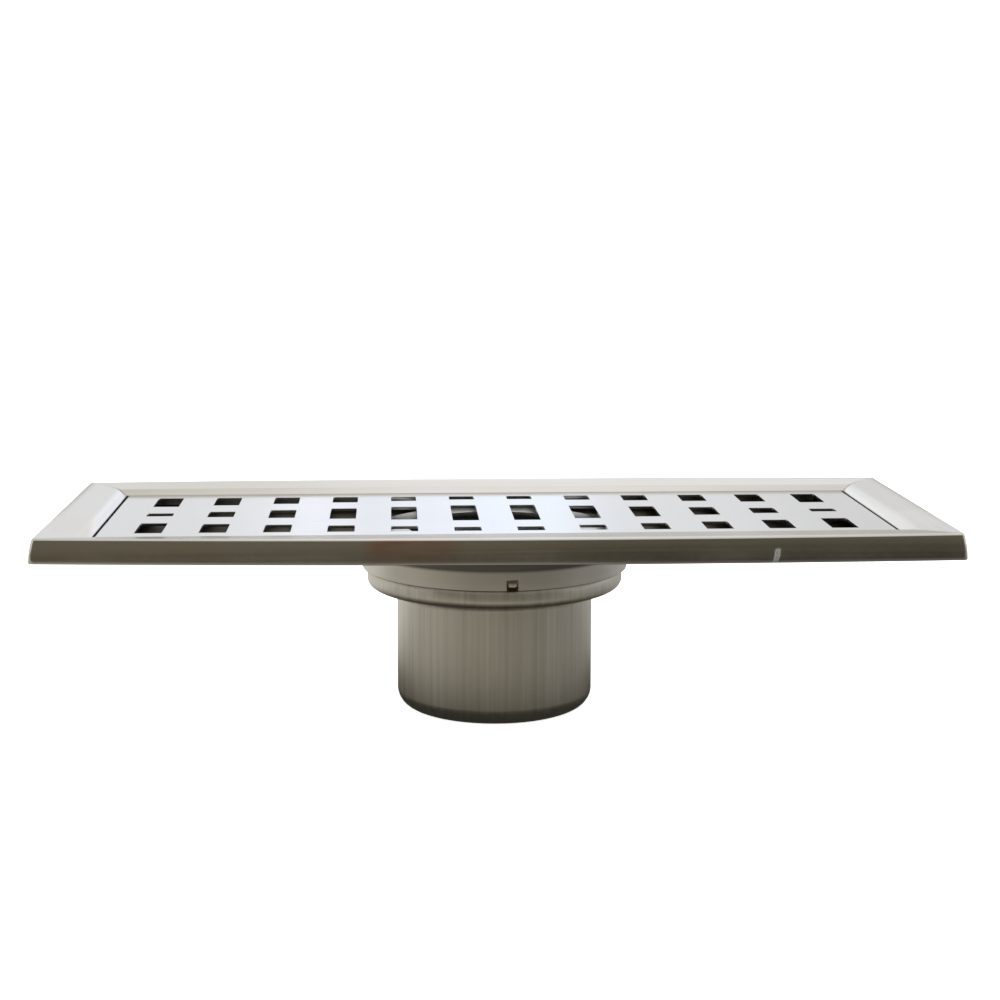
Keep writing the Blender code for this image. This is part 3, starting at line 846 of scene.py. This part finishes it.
def make_tray(material, inside):
    """The tray's walls and floor, with a round hole that the collar closes to a hairline."""
    low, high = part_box("tray")
    collar_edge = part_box("collar")[1].x
    floor = low.z + SHEET
    inner = max(TRAY_EDGE - SHEET, TRAY_INNER_EDGE)
    bm = bmesh.new()
    steps = [(SHEET + inner, floor)]
    steps += [(SHEET + inner - x, z) for x, z in arc((0.0, floor + inner), inner, 270, 360, 4)][1:]
    steps += [(SHEET, high.z - LIP), (SHEET - LIP, high.z), (LIP, high.z), (0.0, high.z - LIP)]
    steps += [(TRAY_EDGE - x, z) for x, z in arc((0.0, low.z + TRAY_EDGE), TRAY_EDGE, 360, 270, 6)]
    rings = loft(bm, box_rings(high.x, high.y, TRAY_CORNER, steps))
    hole = collar_edge + BUTT_JOINT
    circles = []
    for height in (floor, low.z):
        points = arc((0.0, 0.0), hole, 0, 360, AROUND)[:-1]
        circles.append([(x, y, height) for x, y in points])
    hole_rings = loft(bm, circles)
    filled(bm, rings[0], hole_rings[0])
    filled(bm, rings[-1], hole_rings[1])
    bmesh.ops.recalc_face_normals(bm, faces=bm.faces)
    # Faces inside the tray take the second, much darker steel: painted shade inside the tray under the
    # grate
    for face in bm.faces:
        centre = face.calc_center_median()
        outwards = face.normal.dot((centre.x, centre.y * TRAY_ASPECT, 0.0)) > 0
        face.material_index = 0 if outwards or centre.z < floor - SHEET / 2 else 1
    tray = finished(bm, "tray_sheet", "drain_body", material, ["tray"], SMOOTH_FOLD)
    tray.data.materials.append(inside)


def sleeve(low, high, inner):
    """The square section of a ring that fills its box down to an inner radius."""
    return [(high.x, high.z), (high.x, low.z), (inner, low.z), (inner, high.z)]


def turned(name, piece, body, outline, material, steps=AROUND, closed=True):
    bm = bmesh.new()
    lathe(bm, outline, steps, closed)
    return finished(bm, piece, body, material, [name])


def make_collar(material):
    low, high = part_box("collar")
    radius = high.x - COLLAR_FLARE
    top = high.z - SHEET
    unit = arc((0.0, 0.0), 1.0, 90, 180, 20)
    path = [(high.x + COLLAR_FLARE * x, top + COLLAR_FLARE_HEIGHT * (z - 1)) for x, z in unit]
    path += arc((radius - COLLAR_FOOT, low.z + COLLAR_FOOT), COLLAR_FOOT, 0, -60, 6)
    turned("collar", "collar_ring", "drain_body", rounded(sheet_outline(path), LIP), material)


def make_outlet(drawn, black):
    """The bead ring, the cup below it, the seal above it and the standpipe inside."""
    low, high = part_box("bead_ring")
    cup_low, cup_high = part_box("outlet_cup")
    bead_centre = high.x - BEAD_RADIUS
    bead_height = low.z + SHOULDER_FILLET + BEAD_RADIUS
    collar_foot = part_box("collar")[0].z
    waist = NECK_RADIUS - GROOVE_DEPTH
    swell = high.x - waist
    rise = collar_foot - bead_height
    path = [(NECK_RADIUS, high.z), (NECK_RADIUS, collar_foot + COLLAR_FOOT)]
    unit = arc((0.0, 0.0), 1.0, 90, 0, 16)
    path += [(waist + swell * x, bead_height + rise * z) for x, z in unit]
    path += arc((bead_centre, bead_height), BEAD_RADIUS, 0, -90, 14)[1:]
    path += arc((cup_high.x + SHOULDER_FILLET, low.z), SHOULDER_FILLET, 90, 180, 8)
    turned("bead_ring", "bead_ring_drawn", "drain_body", sheet_outline(path), drawn)

    pipe_low, pipe_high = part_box("standpipe")
    path = [(cup_high.x, low.z - BUTT_JOINT)]
    path += arc((cup_high.x - CUP_EDGE, cup_low.z + CUP_EDGE), CUP_EDGE, 0, -90, 10)
    path.append((PIPE_RADIUS + HAIRLINE, cup_low.z))
    turned("outlet_cup", "outlet_cup_drawn", "drain_body", sheet_outline(path), drawn)

    low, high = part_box("collar_seal")
    outline = rounded(sleeve(low, high, NECK_RADIUS + SEAL_CLEARANCE), LIP)
    turned("collar_seal", "collar_seal_rubber", "drain_body", outline, black)

    flange = pipe_low.z + SHEET + SEAL_CLEARANCE
    outline = [
        (PIPE_RADIUS, pipe_high.z),
        (PIPE_RADIUS, flange + SHEET),
        (pipe_high.x, flange + SHEET),
        (pipe_high.x, flange),
        (PIPE_RADIUS, flange),
        (PIPE_RADIUS, pipe_low.z),
        (PIPE_RADIUS - SHEET, pipe_low.z),
        (PIPE_RADIUS - SHEET, pipe_high.z),
    ]
    turned("standpipe", "standpipe_tube", "drain_body", rounded(outline, LIP), drawn, 96)


def make_locating_tab(material):
    """A small hood pressed out of the collar's front: it slopes out, and is cut open at its lower half."""
    low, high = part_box("locating_tab")
    back = high.y + 2 * SEAL_CLEARANCE
    depth = high.y - low.y
    half = (high.x - low.x) / 2
    middle = (low.x + high.x) / 2
    sections = []
    for height, proud in TAB_HOOD:
        points = [(middle + half, back, low.z + (high.z - low.z) * height)]
        for step in range(TAB_STEPS + 1):
            across = 1 - 2 * step / TAB_STEPS
            bulge = (1 - abs(across) ** 4) ** 0.5
            points.append((middle + half * across, high.y - depth * proud * bulge, points[0][2]))
        points.append((middle - half, back, points[0][2]))
        sections.append(points)
    bm = bmesh.new()
    solid_loft(bm, sections)
    finished(bm, "locating_tab_lug", "drain_body", material, ["locating_tab"])


def radial_slots(count, inner, outer, width, low_z, high_z):
    """Closed round-cornered blocks that stand round the axis, for cutting slots."""
    bm = bmesh.new()
    corner = min(width, outer - inner) * SLOT_ROUND
    for index in range(count):
        low, high = (inner, -width / 2), (outer, width / 2)
        sections = [rounded_rectangle(low, high, corner, height, 6) for height in (low_z, high_z)]
        rings = solid_loft(bm, sections)
        turn_about_z(rings[0] + rings[1], 2 * math.pi * index / count)
    return bm


def window_cutters(radius, low_z, high_z):
    """Closed round-cornered blocks that lie radially, for cutting windows in a ring."""
    bm = bmesh.new()
    for index in range(RING_WINDOWS):
        low, high = (-RING_WINDOW_WIDTH / 2, low_z), (RING_WINDOW_WIDTH / 2, high_z)
        plan = rounded_rectangle(low, high, (high_z - low_z) * WINDOW_ROUND, 0.0, 6)
        sections = []
        for reach in (radius - 3 * SHEET, radius + SHEET):
            sections.append([(reach, y, z) for y, z, _ in plan])
        rings = solid_loft(bm, sections)
        turn_about_z(rings[0] + rings[1], 2 * math.pi * (index + 0.5) / RING_WINDOWS)
    return bm


def make_insert(bright, drawn, black):
    """The basket, its ring and seal, and the bell with the screw, spacer and nut that hold it."""
    low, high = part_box("strainer_basket")
    top = high.z
    floor = low.z + SHEET
    path = [(SCREW_BORE, floor), (WELL_FLOOR_RADIUS, floor), (WELL_TOP_RADIUS, top), (high.x, top)]
    outline = rounded(sheet_outline(path), FOLD)
    name = "strainer_basket"
    basket = turned(name, "strainer_basket_sheet", "trap_insert", outline, bright)
    inner, outer, width = BASKET_SLOT
    cut(basket, radial_slots(BASKET_SLOTS, inner, outer, width, floor - 2 * SHEET, floor + SHEET), "slots")

    low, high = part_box("insert_ring")
    path = [(high.x, high.z), (high.x, low.z)]
    outline = rounded(sheet_outline(path), LIP)
    ring = turned("insert_ring", "insert_ring_sheet", "trap_insert", outline, bright)
    window_top, window_bottom = (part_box("rim_front")[1].z - depth for depth in RING_WINDOW_DEPTHS)
    cut(ring, window_cutters(high.x, window_bottom, window_top), "windows")

    low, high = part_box("insert_seal")
    inner = high.x - SEAL_WIDTH
    outline = rounded(sleeve(low, high, inner), (high.z - low.z) * SEAL_ROUND, 5)
    turned("insert_seal", "insert_seal_rubber", "trap_insert", outline, black)

    low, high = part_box("bell")
    path = [(SCREW_BORE, high.z)]
    path += arc((high.x - BELL_EDGE, high.z - BELL_EDGE), BELL_EDGE, 90, 0, 10)
    path.append((high.x, low.z))
    outline = rounded(sheet_outline(path), LIP)
    turned("bell", "bell_drawn", "trap_insert", outline, drawn)
    make_fastener(bright)


def make_fastener(bright):
    low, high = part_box("bell_spacer")
    outline = rounded(sleeve(low, high, SCREW_BORE), FOLD)
    turned("bell_spacer", "bell_spacer_tube", "trap_insert", outline, bright, 48)

    low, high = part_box("bell_nut")
    nut_top, nut_bottom, radius = high.z, low.z, high.x
    chamfer = radius * (1 - math.cos(math.pi / 6))
    bm = bmesh.new()
    sections = []
    slant = chamfer * NUT_CHAMFER
    levels = [(chamfer, nut_bottom), (0.0, nut_bottom + slant), (0.0, nut_top - slant), (chamfer, nut_top)]
    for inset, height in levels:
        points = []
        for step in range(NUT_STEPS):
            angle = 2 * math.pi * step / NUT_STEPS
            to_flat = (angle + math.pi / 6) % (math.pi / 3) - math.pi / 6
            reach = radius * math.cos(math.pi / 6) / math.cos(math.pi / 6 - abs(to_flat))
            reach = min(reach, radius - inset)
            points.append((reach * math.cos(angle), reach * math.sin(angle), height))
        sections.append(points)
    for height in (nut_top, nut_bottom):
        points = arc((0.0, 0.0), SCREW_BORE, 0, 360, NUT_STEPS)[:-1]
        sections.append([(x, y, height) for x, y in points])
    sections.append(sections[0])
    rings = loft(bm, sections)
    bmesh.ops.remove_doubles(bm, verts=rings[0] + rings[-1], dist=TOUCHING)
    finished(bm, "bell_nut_hex", "trap_insert", bright, ["bell_nut"], SMOOTH_NUT)

    low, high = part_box("bell_screw")
    head_radius = high.x
    shank_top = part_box("strainer_basket")[0].z + SHEET + SEAL_CLEARANCE
    head = high.z - shank_top
    arch = head * SCREW_HEAD_ARCH
    crown = (head_radius**2 + arch**2) / (2 * arch)
    half = math.degrees(math.asin(head_radius / crown))
    outline = arc((0.0, high.z - crown), crown, 90, 90 - half, 8)
    outline[0] = (0.0, high.z)
    outline += [(head_radius, shank_top), (SCREW_RADIUS, shank_top)]
    pitch = SCREW_RADIUS * THREAD_PITCH
    turns = int((shank_top - low.z - SCREW_RADIUS) / pitch)
    height = shank_top - pitch / 2
    for _ in range(turns):
        outline += [(SCREW_RADIUS, height), (SCREW_RADIUS * THREAD_ROOT, height - pitch / 2)]
        height -= pitch
    outline += [(SCREW_RADIUS, height), (SCREW_RADIUS * SCREW_TIP, low.z), (0.0, low.z)]
    name = "bell_screw"
    screw = turned(name, "bell_screw_cross", "trap_insert", outline, bright, 48, False)
    bm = bmesh.new()
    arm, slit = head_radius * CROSS_ARM, head_radius * CROSS_SLIT
    corners = [
        (arm, slit), (slit, slit), (slit, arm),
        (-slit, arm), (-slit, slit), (-arm, slit),
        (-arm, -slit), (-slit, -slit), (-slit, -arm),
        (slit, -arm), (slit, -slit), (arm, -slit),
    ]
    levels = [(CROSS_TAPER, high.z - head * CROSS_DEPTH), (1.0, high.z + head * CROSS_CLEARANCE)]
    sections = []
    for grown, height in levels:
        sections.append([(x * grown, y * grown, height) for x, y in corners])
    solid_loft(bm, sections)
    cut(screw, bm, "cross_recess")


def make_clips(material):
    """Two bent straps over the bail's pins, with round bends and broken edges."""
    for side in ("left", "right"):
        name = f"bail_clip_{side}"
        low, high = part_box(name)
        foot = CLIP_FOOT
        path = [
            (low.y, low.z + CLIP_SHEET),
            (low.y + foot, low.z + CLIP_SHEET),
            (low.y + foot, high.z),
            (high.y - foot, high.z),
            (high.y - foot, low.z + CLIP_SHEET),
            (high.y, low.z + CLIP_SHEET),
        ]
        bm = bmesh.new()
        extruded(bm, rounded(sheet_outline(path, CLIP_SHEET), CLIP_SHEET * CLIP_BEND, 5), low.x, high.x)
        clip = finished(bm, f"{name}_strap", "trap_insert", material, [name])
        bevelled(clip, LIP / 2)


def make_bail(material):
    """The bent wire handle that lies in the basket, with round ends on its two pins."""
    low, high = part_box("bail_handle")
    wire = (high.z - low.z) / 2
    axis_y, axis_z = low.y + wire, (low.z + high.z) / 2
    leg = BAIL_LEG_X
    bow = high.y - wire - leg
    half = [(high.x, axis_y)]
    half += arc((leg + WIRE_BEND, axis_y + WIRE_BEND), WIRE_BEND, 270, 180)
    half += arc((0.0, bow), leg, 0, 90, 20)
    route = half + [(-x, y) for x, y in half[-2::-1]]
    directions = []
    for index, point in enumerate(route):
        before = Vector(route[max(index - 1, 0)])
        after = Vector(route[min(index + 1, len(route) - 1)])
        directions.append((after - before).normalized())

    def section(point, direction, radius, ahead=0.0):
        """A ring of the wire round a point of its route, facing along the route."""
        centre = Vector((point[0] + direction.x * ahead, point[1] + direction.y * ahead, axis_z))
        side = Vector((direction.y, -direction.x, 0.0))
        up = Vector((0.0, 0.0, 1.0))
        ring = []
        for step in range(WIRE_STEPS):
            angle = 2 * math.pi * step / WIRE_STEPS
            ring.append(tuple(centre + (side * math.cos(angle) + up * math.sin(angle)) * radius))
        return ring

    first, last = directions[0], directions[-1]
    sections = [section(route[0], first, wire * size, wire * ahead) for size, ahead in WIRE_END]
    sections += [section(point, ahead, wire) for point, ahead in list(zip(route, directions))[1:-1]]
    sections += [section(route[-1], last, wire * size, -wire * ahead) for size, ahead in WIRE_END[::-1]]
    bm = bmesh.new()
    solid_loft(bm, sections)
    finished(bm, "bail_handle_wire", "bail", material, ["bail_handle"])


# Studio

CAMERA_PLACE = (-0.03455, -0.65293, 0.18064)
CAMERA_PITCH = 0.164595
CAMERA_YAW = 0.055735
CAMERA_ROLL = 0.002014
LENS = 68.67
SENSOR = 36.0
CLIP_NEAR = 0.01
CLIP_FAR = 50.0


def make_camera():
    """A camera that stands low in front of the drain and looks a little down on it."""
    data = bpy.data.cameras.new("camera")
    data.lens = LENS
    data.sensor_width = SENSOR
    data.clip_start = CLIP_NEAR
    data.clip_end = CLIP_FAR
    camera = placed("camera", data)
    turning = Matrix.Rotation(-CAMERA_YAW, 4, "Z") @ Matrix.Rotation(math.pi / 2 - CAMERA_PITCH, 4, "X")
    camera.matrix_world = Matrix.Translation(CAMERA_PLACE) @ turning @ Matrix.Rotation(CAMERA_ROLL, 4, "Z")
    bpy.context.scene.camera = camera


def sheet_between(name, corners):
    """A flat stage sheet between four corners."""
    mesh = bpy.data.meshes.new(name)
    mesh.from_pydata(corners, [], [(0, 1, 2, 3)])
    sheet = placed(name, mesh)
    return sheet


def graded(tree, value, stops):
    """Colours along a value: each stop is a position and a colour, in growing order."""
    first, last = stops[0][0], stops[-1][0]
    ramp = add_node(tree, "ShaderNodeValToRGB")
    while len(ramp.color_ramp.elements) < len(stops):
        ramp.color_ramp.elements.new(0.5)
    for element, (place, colour) in zip(ramp.color_ramp.elements, stops):
        element.position = (place - first) / (last - first)
        element.color = (*colour, 1.0)
    tree.links.new(spread(tree, value, 0.0, 1.0, first, last), ramp.inputs["Fac"])
    return ramp.outputs["Color"]


def glow_card(name, corners):
    """A card that only reflections show: its nodes, its place and the socket of its glow's colour."""
    card = sheet_between(name, corners)
    card.visible_camera = False
    card.visible_diffuse = False
    card.visible_shadow = False
    card.visible_transmission = False
    made = bpy.data.materials.new(name)
    made.use_nodes = True
    tree = made.node_tree
    tree.nodes.clear()
    output = add_node(tree, "ShaderNodeOutputMaterial")
    glow = add_node(tree, "ShaderNodeEmission")
    tree.links.new(glow.outputs["Emission"], output.inputs["Surface"])
    card.data.materials.append(made)
    place = add_node(tree, "ShaderNodeTexCoord").outputs["Object"]
    return tree, place, glow.inputs["Color"]


FLOOR_HALF = 4.0
FLOOR_BEND = 1.0
FLOOR_TONES = ((0.86, 0.86, 0.86), (0.89, 0.89, 0.89))
FLOOR_SPOTS = ((3.0, 3.0, 3.0), 2.0)
FLOOR_ROUGHNESS = 0.9
FLOOR_GLOW = 0.85
BACK_Y = 1.6


def make_floor():
    """A pale floor that rises in a curve to a backdrop far behind the drain."""
    bm = bmesh.new()
    profile = [(-FLOOR_HALF, 0.0), (BACK_Y, 0.0)]
    profile += arc((BACK_Y, FLOOR_BEND), FLOOR_BEND, 270, 360, 24)[1:]
    profile.append((BACK_Y + FLOOR_BEND, FLOOR_HALF))
    rows = []
    for y, z in profile:
        rows.append([bm.verts.new((x, y, z)) for x in (-FLOOR_HALF, FLOOR_HALF)])
    for (a, b), (c, d) in zip(rows, rows[1:]):
        bm.faces.new((a, b, d, c))
    mesh = bpy.data.meshes.new("floor")
    bm.to_mesh(mesh)
    bm.free()
    mesh.shade_smooth()
    floor = placed("floor", mesh)
    floor.visible_glossy = False
    made, tree, shader, place = new_material("pale_floor")
    tone = mix_colours(tree, noise(tree, place, *FLOOR_SPOTS), *FLOOR_TONES)
    tree.links.new(tone, shader.inputs["Base Color"])
    shader.inputs["Roughness"].default_value = FLOOR_ROUGHNESS
    shader.inputs["Specular IOR Level"].default_value = 0.0
    shader.inputs["Emission Color"].default_value = (1.0, 1.0, 1.0, 1.0)
    shader.inputs["Emission Strength"].default_value = FLOOR_GLOW
    mesh.materials.append(made)


# Places of the cards
CARD_HALF = 2.6
CARD_HEIGHT = 2.4
CARD_FOOT = -0.1
GROUND_Z = -0.002
FRONT_Y = -1.4
FRONT_TOP = 1.8
TOP_Y = -0.2
TOP_Z = 2.0

# Glow of the ground card along Y, under and round the drain, where it is dim as a painted shadow of the
# drain, and along X
GROUND_ALONG = (
    (-1.40, (0.18, 0.155, 0.11)),
    (-0.80, (0.14, 0.12, 0.08)),
    (-0.50, (0.085, 0.074, 0.050)),
    (-0.35, (0.075, 0.065, 0.045)),
    (-0.305, (0.41, 0.38, 0.325)),
    (-0.16, (0.50, 0.47, 0.41)),
    (0.04, (0.46, 0.44, 0.40)),
    (0.12, (0.78, 0.77, 0.74)),
    (0.30, (0.86, 0.83, 0.77)),
    (0.60, (0.80, 0.76, 0.68)),
)
GROUND_UNDER = (
    (0.045, (0.10, 0.10, 0.09)),
    (0.075, (0.38, 0.37, 0.35)),
    (0.105, (0.90, 0.89, 0.87)),
    (0.125, (1.0, 1.0, 1.0)),
)
GROUND_ACROSS = (
    (-1.00, (1.26, 1.26, 1.23)),
    (-0.30, (1.16, 1.16, 1.14)),
    (-0.16, (1.20, 1.20, 1.19)),
    (-0.07, (1.00, 1.00, 1.00)),
    (0.00, (1.02, 1.02, 1.01)),
    (0.06, (0.86, 0.86, 0.86)),
    (0.13, (0.70, 0.70, 0.72)),
    (0.30, (0.64, 0.65, 0.68)),
    (0.45, (0.74, 0.75, 0.78)),
    (1.00, (1.20, 1.22, 1.26)),
)

# Glow of the front card upwards
FRONT_UP = (
    (-0.10, (0.14, 0.12, 0.08)),
    (0.15, (0.17, 0.15, 0.11)),
    (0.45, (0.40, 0.385, 0.35)),
    (0.90, (0.80, 0.79, 0.77)),
)

# Glow of the back card: upwards, along X in its middle, and along X above and below that
BACK_UP = (
    (0.00, (0.72, 0.69, 0.63)),
    (0.09, (0.60, 0.57, 0.50)),
    (0.15, (0.40, 0.36, 0.29)),
    (0.25, (0.66, 0.64, 0.60)),
    (0.38, (0.95, 0.95, 0.96)),
    (0.55, (1.20, 1.20, 1.19)),
    (0.72, (1.00, 0.97, 0.92)),
    (1.30, (0.80, 0.76, 0.68)),
    (2.20, (0.86, 0.82, 0.74)),
)
BACK_ALONG = (
    (-0.42, (0.92, 0.925, 0.94)),
    (-0.36, (0.96, 0.965, 0.99)),
    (-0.28, (0.96, 0.965, 0.99)),
    (-0.20, (1.03, 1.05, 1.09)),
    (-0.133, (1.20, 1.24, 1.33)),
    (-0.07, (1.05, 1.08, 1.16)),
    (0.00, (1.12, 1.17, 1.28)),
    (0.09, (1.16, 1.24, 1.36)),
    (0.165, (1.16, 1.24, 1.36)),
    (0.22, (0.98, 1.01, 1.06)),
    (0.29, (0.94, 0.95, 0.97)),
    (0.38, (0.915, 0.92, 0.935)),
    (0.46, (0.86, 0.86, 0.865)),
    (0.54, (0.81, 0.81, 0.81)),
)
BACK_SIDES = (
    (-0.42, (0.90, 0.90, 0.90)),
    (-0.30, (0.86, 0.86, 0.86)),
    (-0.20, (0.92, 0.92, 0.92)),
    (-0.05, (1.05, 1.06, 1.08)),
    (0.08, (1.08, 1.09, 1.11)),
    (0.30, (1.06, 1.07, 1.10)),
    (0.54, (0.98, 0.99, 1.02)),
)

# How much of the back card's middle shows at each height
BACK_MIDDLE = ((0.20, 0.0), (0.28, 1.0), (0.47, 1.0), (0.60, 0.0))

# Glow of the top card along X
TOP_ALONG = (
    (-0.60, (0.80, 0.75, 0.64)),
    (-0.25, (0.98, 0.94, 0.87)),
    (0.00, (1.22, 1.21, 1.19)),
    (0.30, (1.20, 1.17, 1.13)),
    (0.70, (0.98, 0.95, 0.90)),
)


def upright(y, top):
    """The corners of a card that stands across the view."""
    places = ((-CARD_HALF, CARD_FOOT), (CARD_HALF, CARD_FOOT), (CARD_HALF, top), (-CARD_HALF, top))
    return [(x, y, z) for x, z in places]


def make_cards():
    """Boards round the drain: a dark one in front of it, pale ones under, behind and above it."""
    wide, deep = CARD_HALF, CARD_HEIGHT
    places = ((-wide, -deep), (wide, -deep), (wide, deep), (-wide, deep))
    tree, place, glow = glow_card("ground_card", [(x, y, GROUND_Z) for x, y in places])
    x, y, _ = split(tree, place)
    under = graded(tree, split(tree, round_place(tree, place))[0], GROUND_UNDER)
    along = multiplied(tree, graded(tree, y, GROUND_ALONG), under)
    tree.links.new(multiplied(tree, along, graded(tree, x, GROUND_ACROSS)), glow)

    tree, place, glow = glow_card("front_card", upright(FRONT_Y, FRONT_TOP))
    tree.links.new(graded(tree, split(tree, place)[2], FRONT_UP), glow)

    tree, place, glow = glow_card("back_card", upright(BACK_Y, CARD_HEIGHT))
    x, _, z = split(tree, place)
    middle = graded(tree, z, [(height, (share, share, share)) for height, share in BACK_MIDDLE])
    sides = multiplied(tree, graded(tree, z, BACK_UP), graded(tree, x, BACK_SIDES))
    tree.links.new(mix_colours(tree, middle, sides, graded(tree, x, BACK_ALONG)), glow)

    places = ((-wide, TOP_Y), (-wide, BACK_Y), (wide, BACK_Y), (wide, TOP_Y))
    tree, place, glow = glow_card("top_card", [(x, y, TOP_Z) for x, y in places])
    tree.links.new(graded(tree, split(tree, place)[0], TOP_ALONG), glow)


SOFTBOX_PLACE = (0.0, 0.2, 1.5)
SOFTBOX_SIZE = (1.8, 1.2)
SOFTBOX_WATTS = 8.0
SKY_GLOW = 0.9


def make_softbox():
    data = bpy.data.lights.new("overhead_softbox", "AREA")
    data.shape = "RECTANGLE"
    data.size, data.size_y = SOFTBOX_SIZE
    data.energy = SOFTBOX_WATTS
    light = placed("overhead_softbox", data)
    light.location = SOFTBOX_PLACE
    light.rotation_euler = (-Vector(SOFTBOX_PLACE)).to_track_quat("-Z", "Y").to_euler()
    light.visible_glossy = False


def make_sky():
    world = bpy.data.worlds.new("studio")
    world.use_nodes = True
    sky = world.node_tree.nodes["Background"]
    sky.inputs["Color"].default_value = (1.0, 1.0, 1.0, 1.0)
    sky.inputs["Strength"].default_value = SKY_GLOW
    bpy.context.scene.world = world
    bpy.context.scene.view_settings.view_transform = "Standard"


# Tones of the materials. The ones with painted shade also have a height where their tone is full, one
# where the painted shade is darkest, and the share of the tone left there. The insert's heights count down
# from its rim.
FRAME_TONE = (0.64, 0.63, 0.61)
GRATE_TONE = (0.66, 0.665, 0.67)
TRAY_TONE = (0.40, 0.375, 0.33)
# Painted shade inside the tray
TRAY_SHADE_TONE = (0.12, 0.10, 0.075)
COLLAR_TONE = (0.57, 0.55, 0.51)
CUP_TONE = (0.57, 0.55, 0.49)
# Painted shade: the frame's steel darkens down the lower part of its skirts
FRAME_PAINTED_SHADE = (0.0634, 0.0614, 0.68)
# Painted shadow of the skirt on the top of the collar's flare
FLARE_PAINTED_SHADE = (0.0551, 0.0561, 0.22)
INSERT_TONE = (0.86, 0.86, 0.87)
INSERT_SHADE = (0.0004, 0.0016, 0.15)
BLACK = (0.022, 0.022, 0.022)
BRIGHT = 0.15
SATIN = 0.36
ROUGH_GRAIN = 0.00002

frame_along = steel("frame_steel_along", FRAME_TONE, BRIGHT, "x", scuff_and_reflection=True, painted_shade=FRAME_PAINTED_SHADE)
frame_across = steel("frame_steel_across", FRAME_TONE, BRIGHT, "y", painted_shade=FRAME_PAINTED_SHADE)
grate_satin = steel("grate_steel_satin", GRATE_TONE, BRIGHT, "x", depth=0.000003, swing=0.03)
grate_leg_satin = steel("grate_leg_satin", TRAY_TONE, SATIN, "x")
tray_satin = steel("tray_steel_satin", TRAY_TONE, SATIN, "x")
tray_painted_shade = steel("tray_steel_painted_shade", TRAY_SHADE_TONE, 0.5, "x", ROUGH_GRAIN, swing=0.15, smudge=0.25)
collar_satin = steel("collar_steel_satin", COLLAR_TONE, 0.33, "round", ROUGH_GRAIN, painted_shade=FLARE_PAINTED_SHADE)
cup_drawn = steel("cup_steel_drawn", CUP_TONE, 0.34, "upright", ROUGH_GRAIN, swing=0.16, smudge=0.08)
# Painted shade: the insert darkens just below its rim
insert_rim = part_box("strainer_basket")[1].z
insert_painted_shade = (insert_rim - INSERT_SHADE[0], insert_rim - INSERT_SHADE[1], INSERT_SHADE[2])
insert_satin = steel("insert_steel_satin", INSERT_TONE, 0.5, "round", painted_shade=insert_painted_shade)
tab_tint_and_shade = tinted_and_shaded("tab_tint_painted_shade")
black_rubber = rubber("black_rubber", BLACK)

make_frame(frame_along, frame_across)
make_grate_plate(grate_satin)
make_legs(grate_leg_satin, black_rubber)
make_tray(tray_satin, tray_painted_shade)
make_collar(collar_satin)
make_locating_tab(tab_tint_and_shade)
make_outlet(cup_drawn, black_rubber)
make_insert(insert_satin, cup_drawn, black_rubber)
make_clips(insert_satin)
make_bail(insert_satin)

make_floor()
make_cards()
make_softbox()
make_sky()
make_camera()
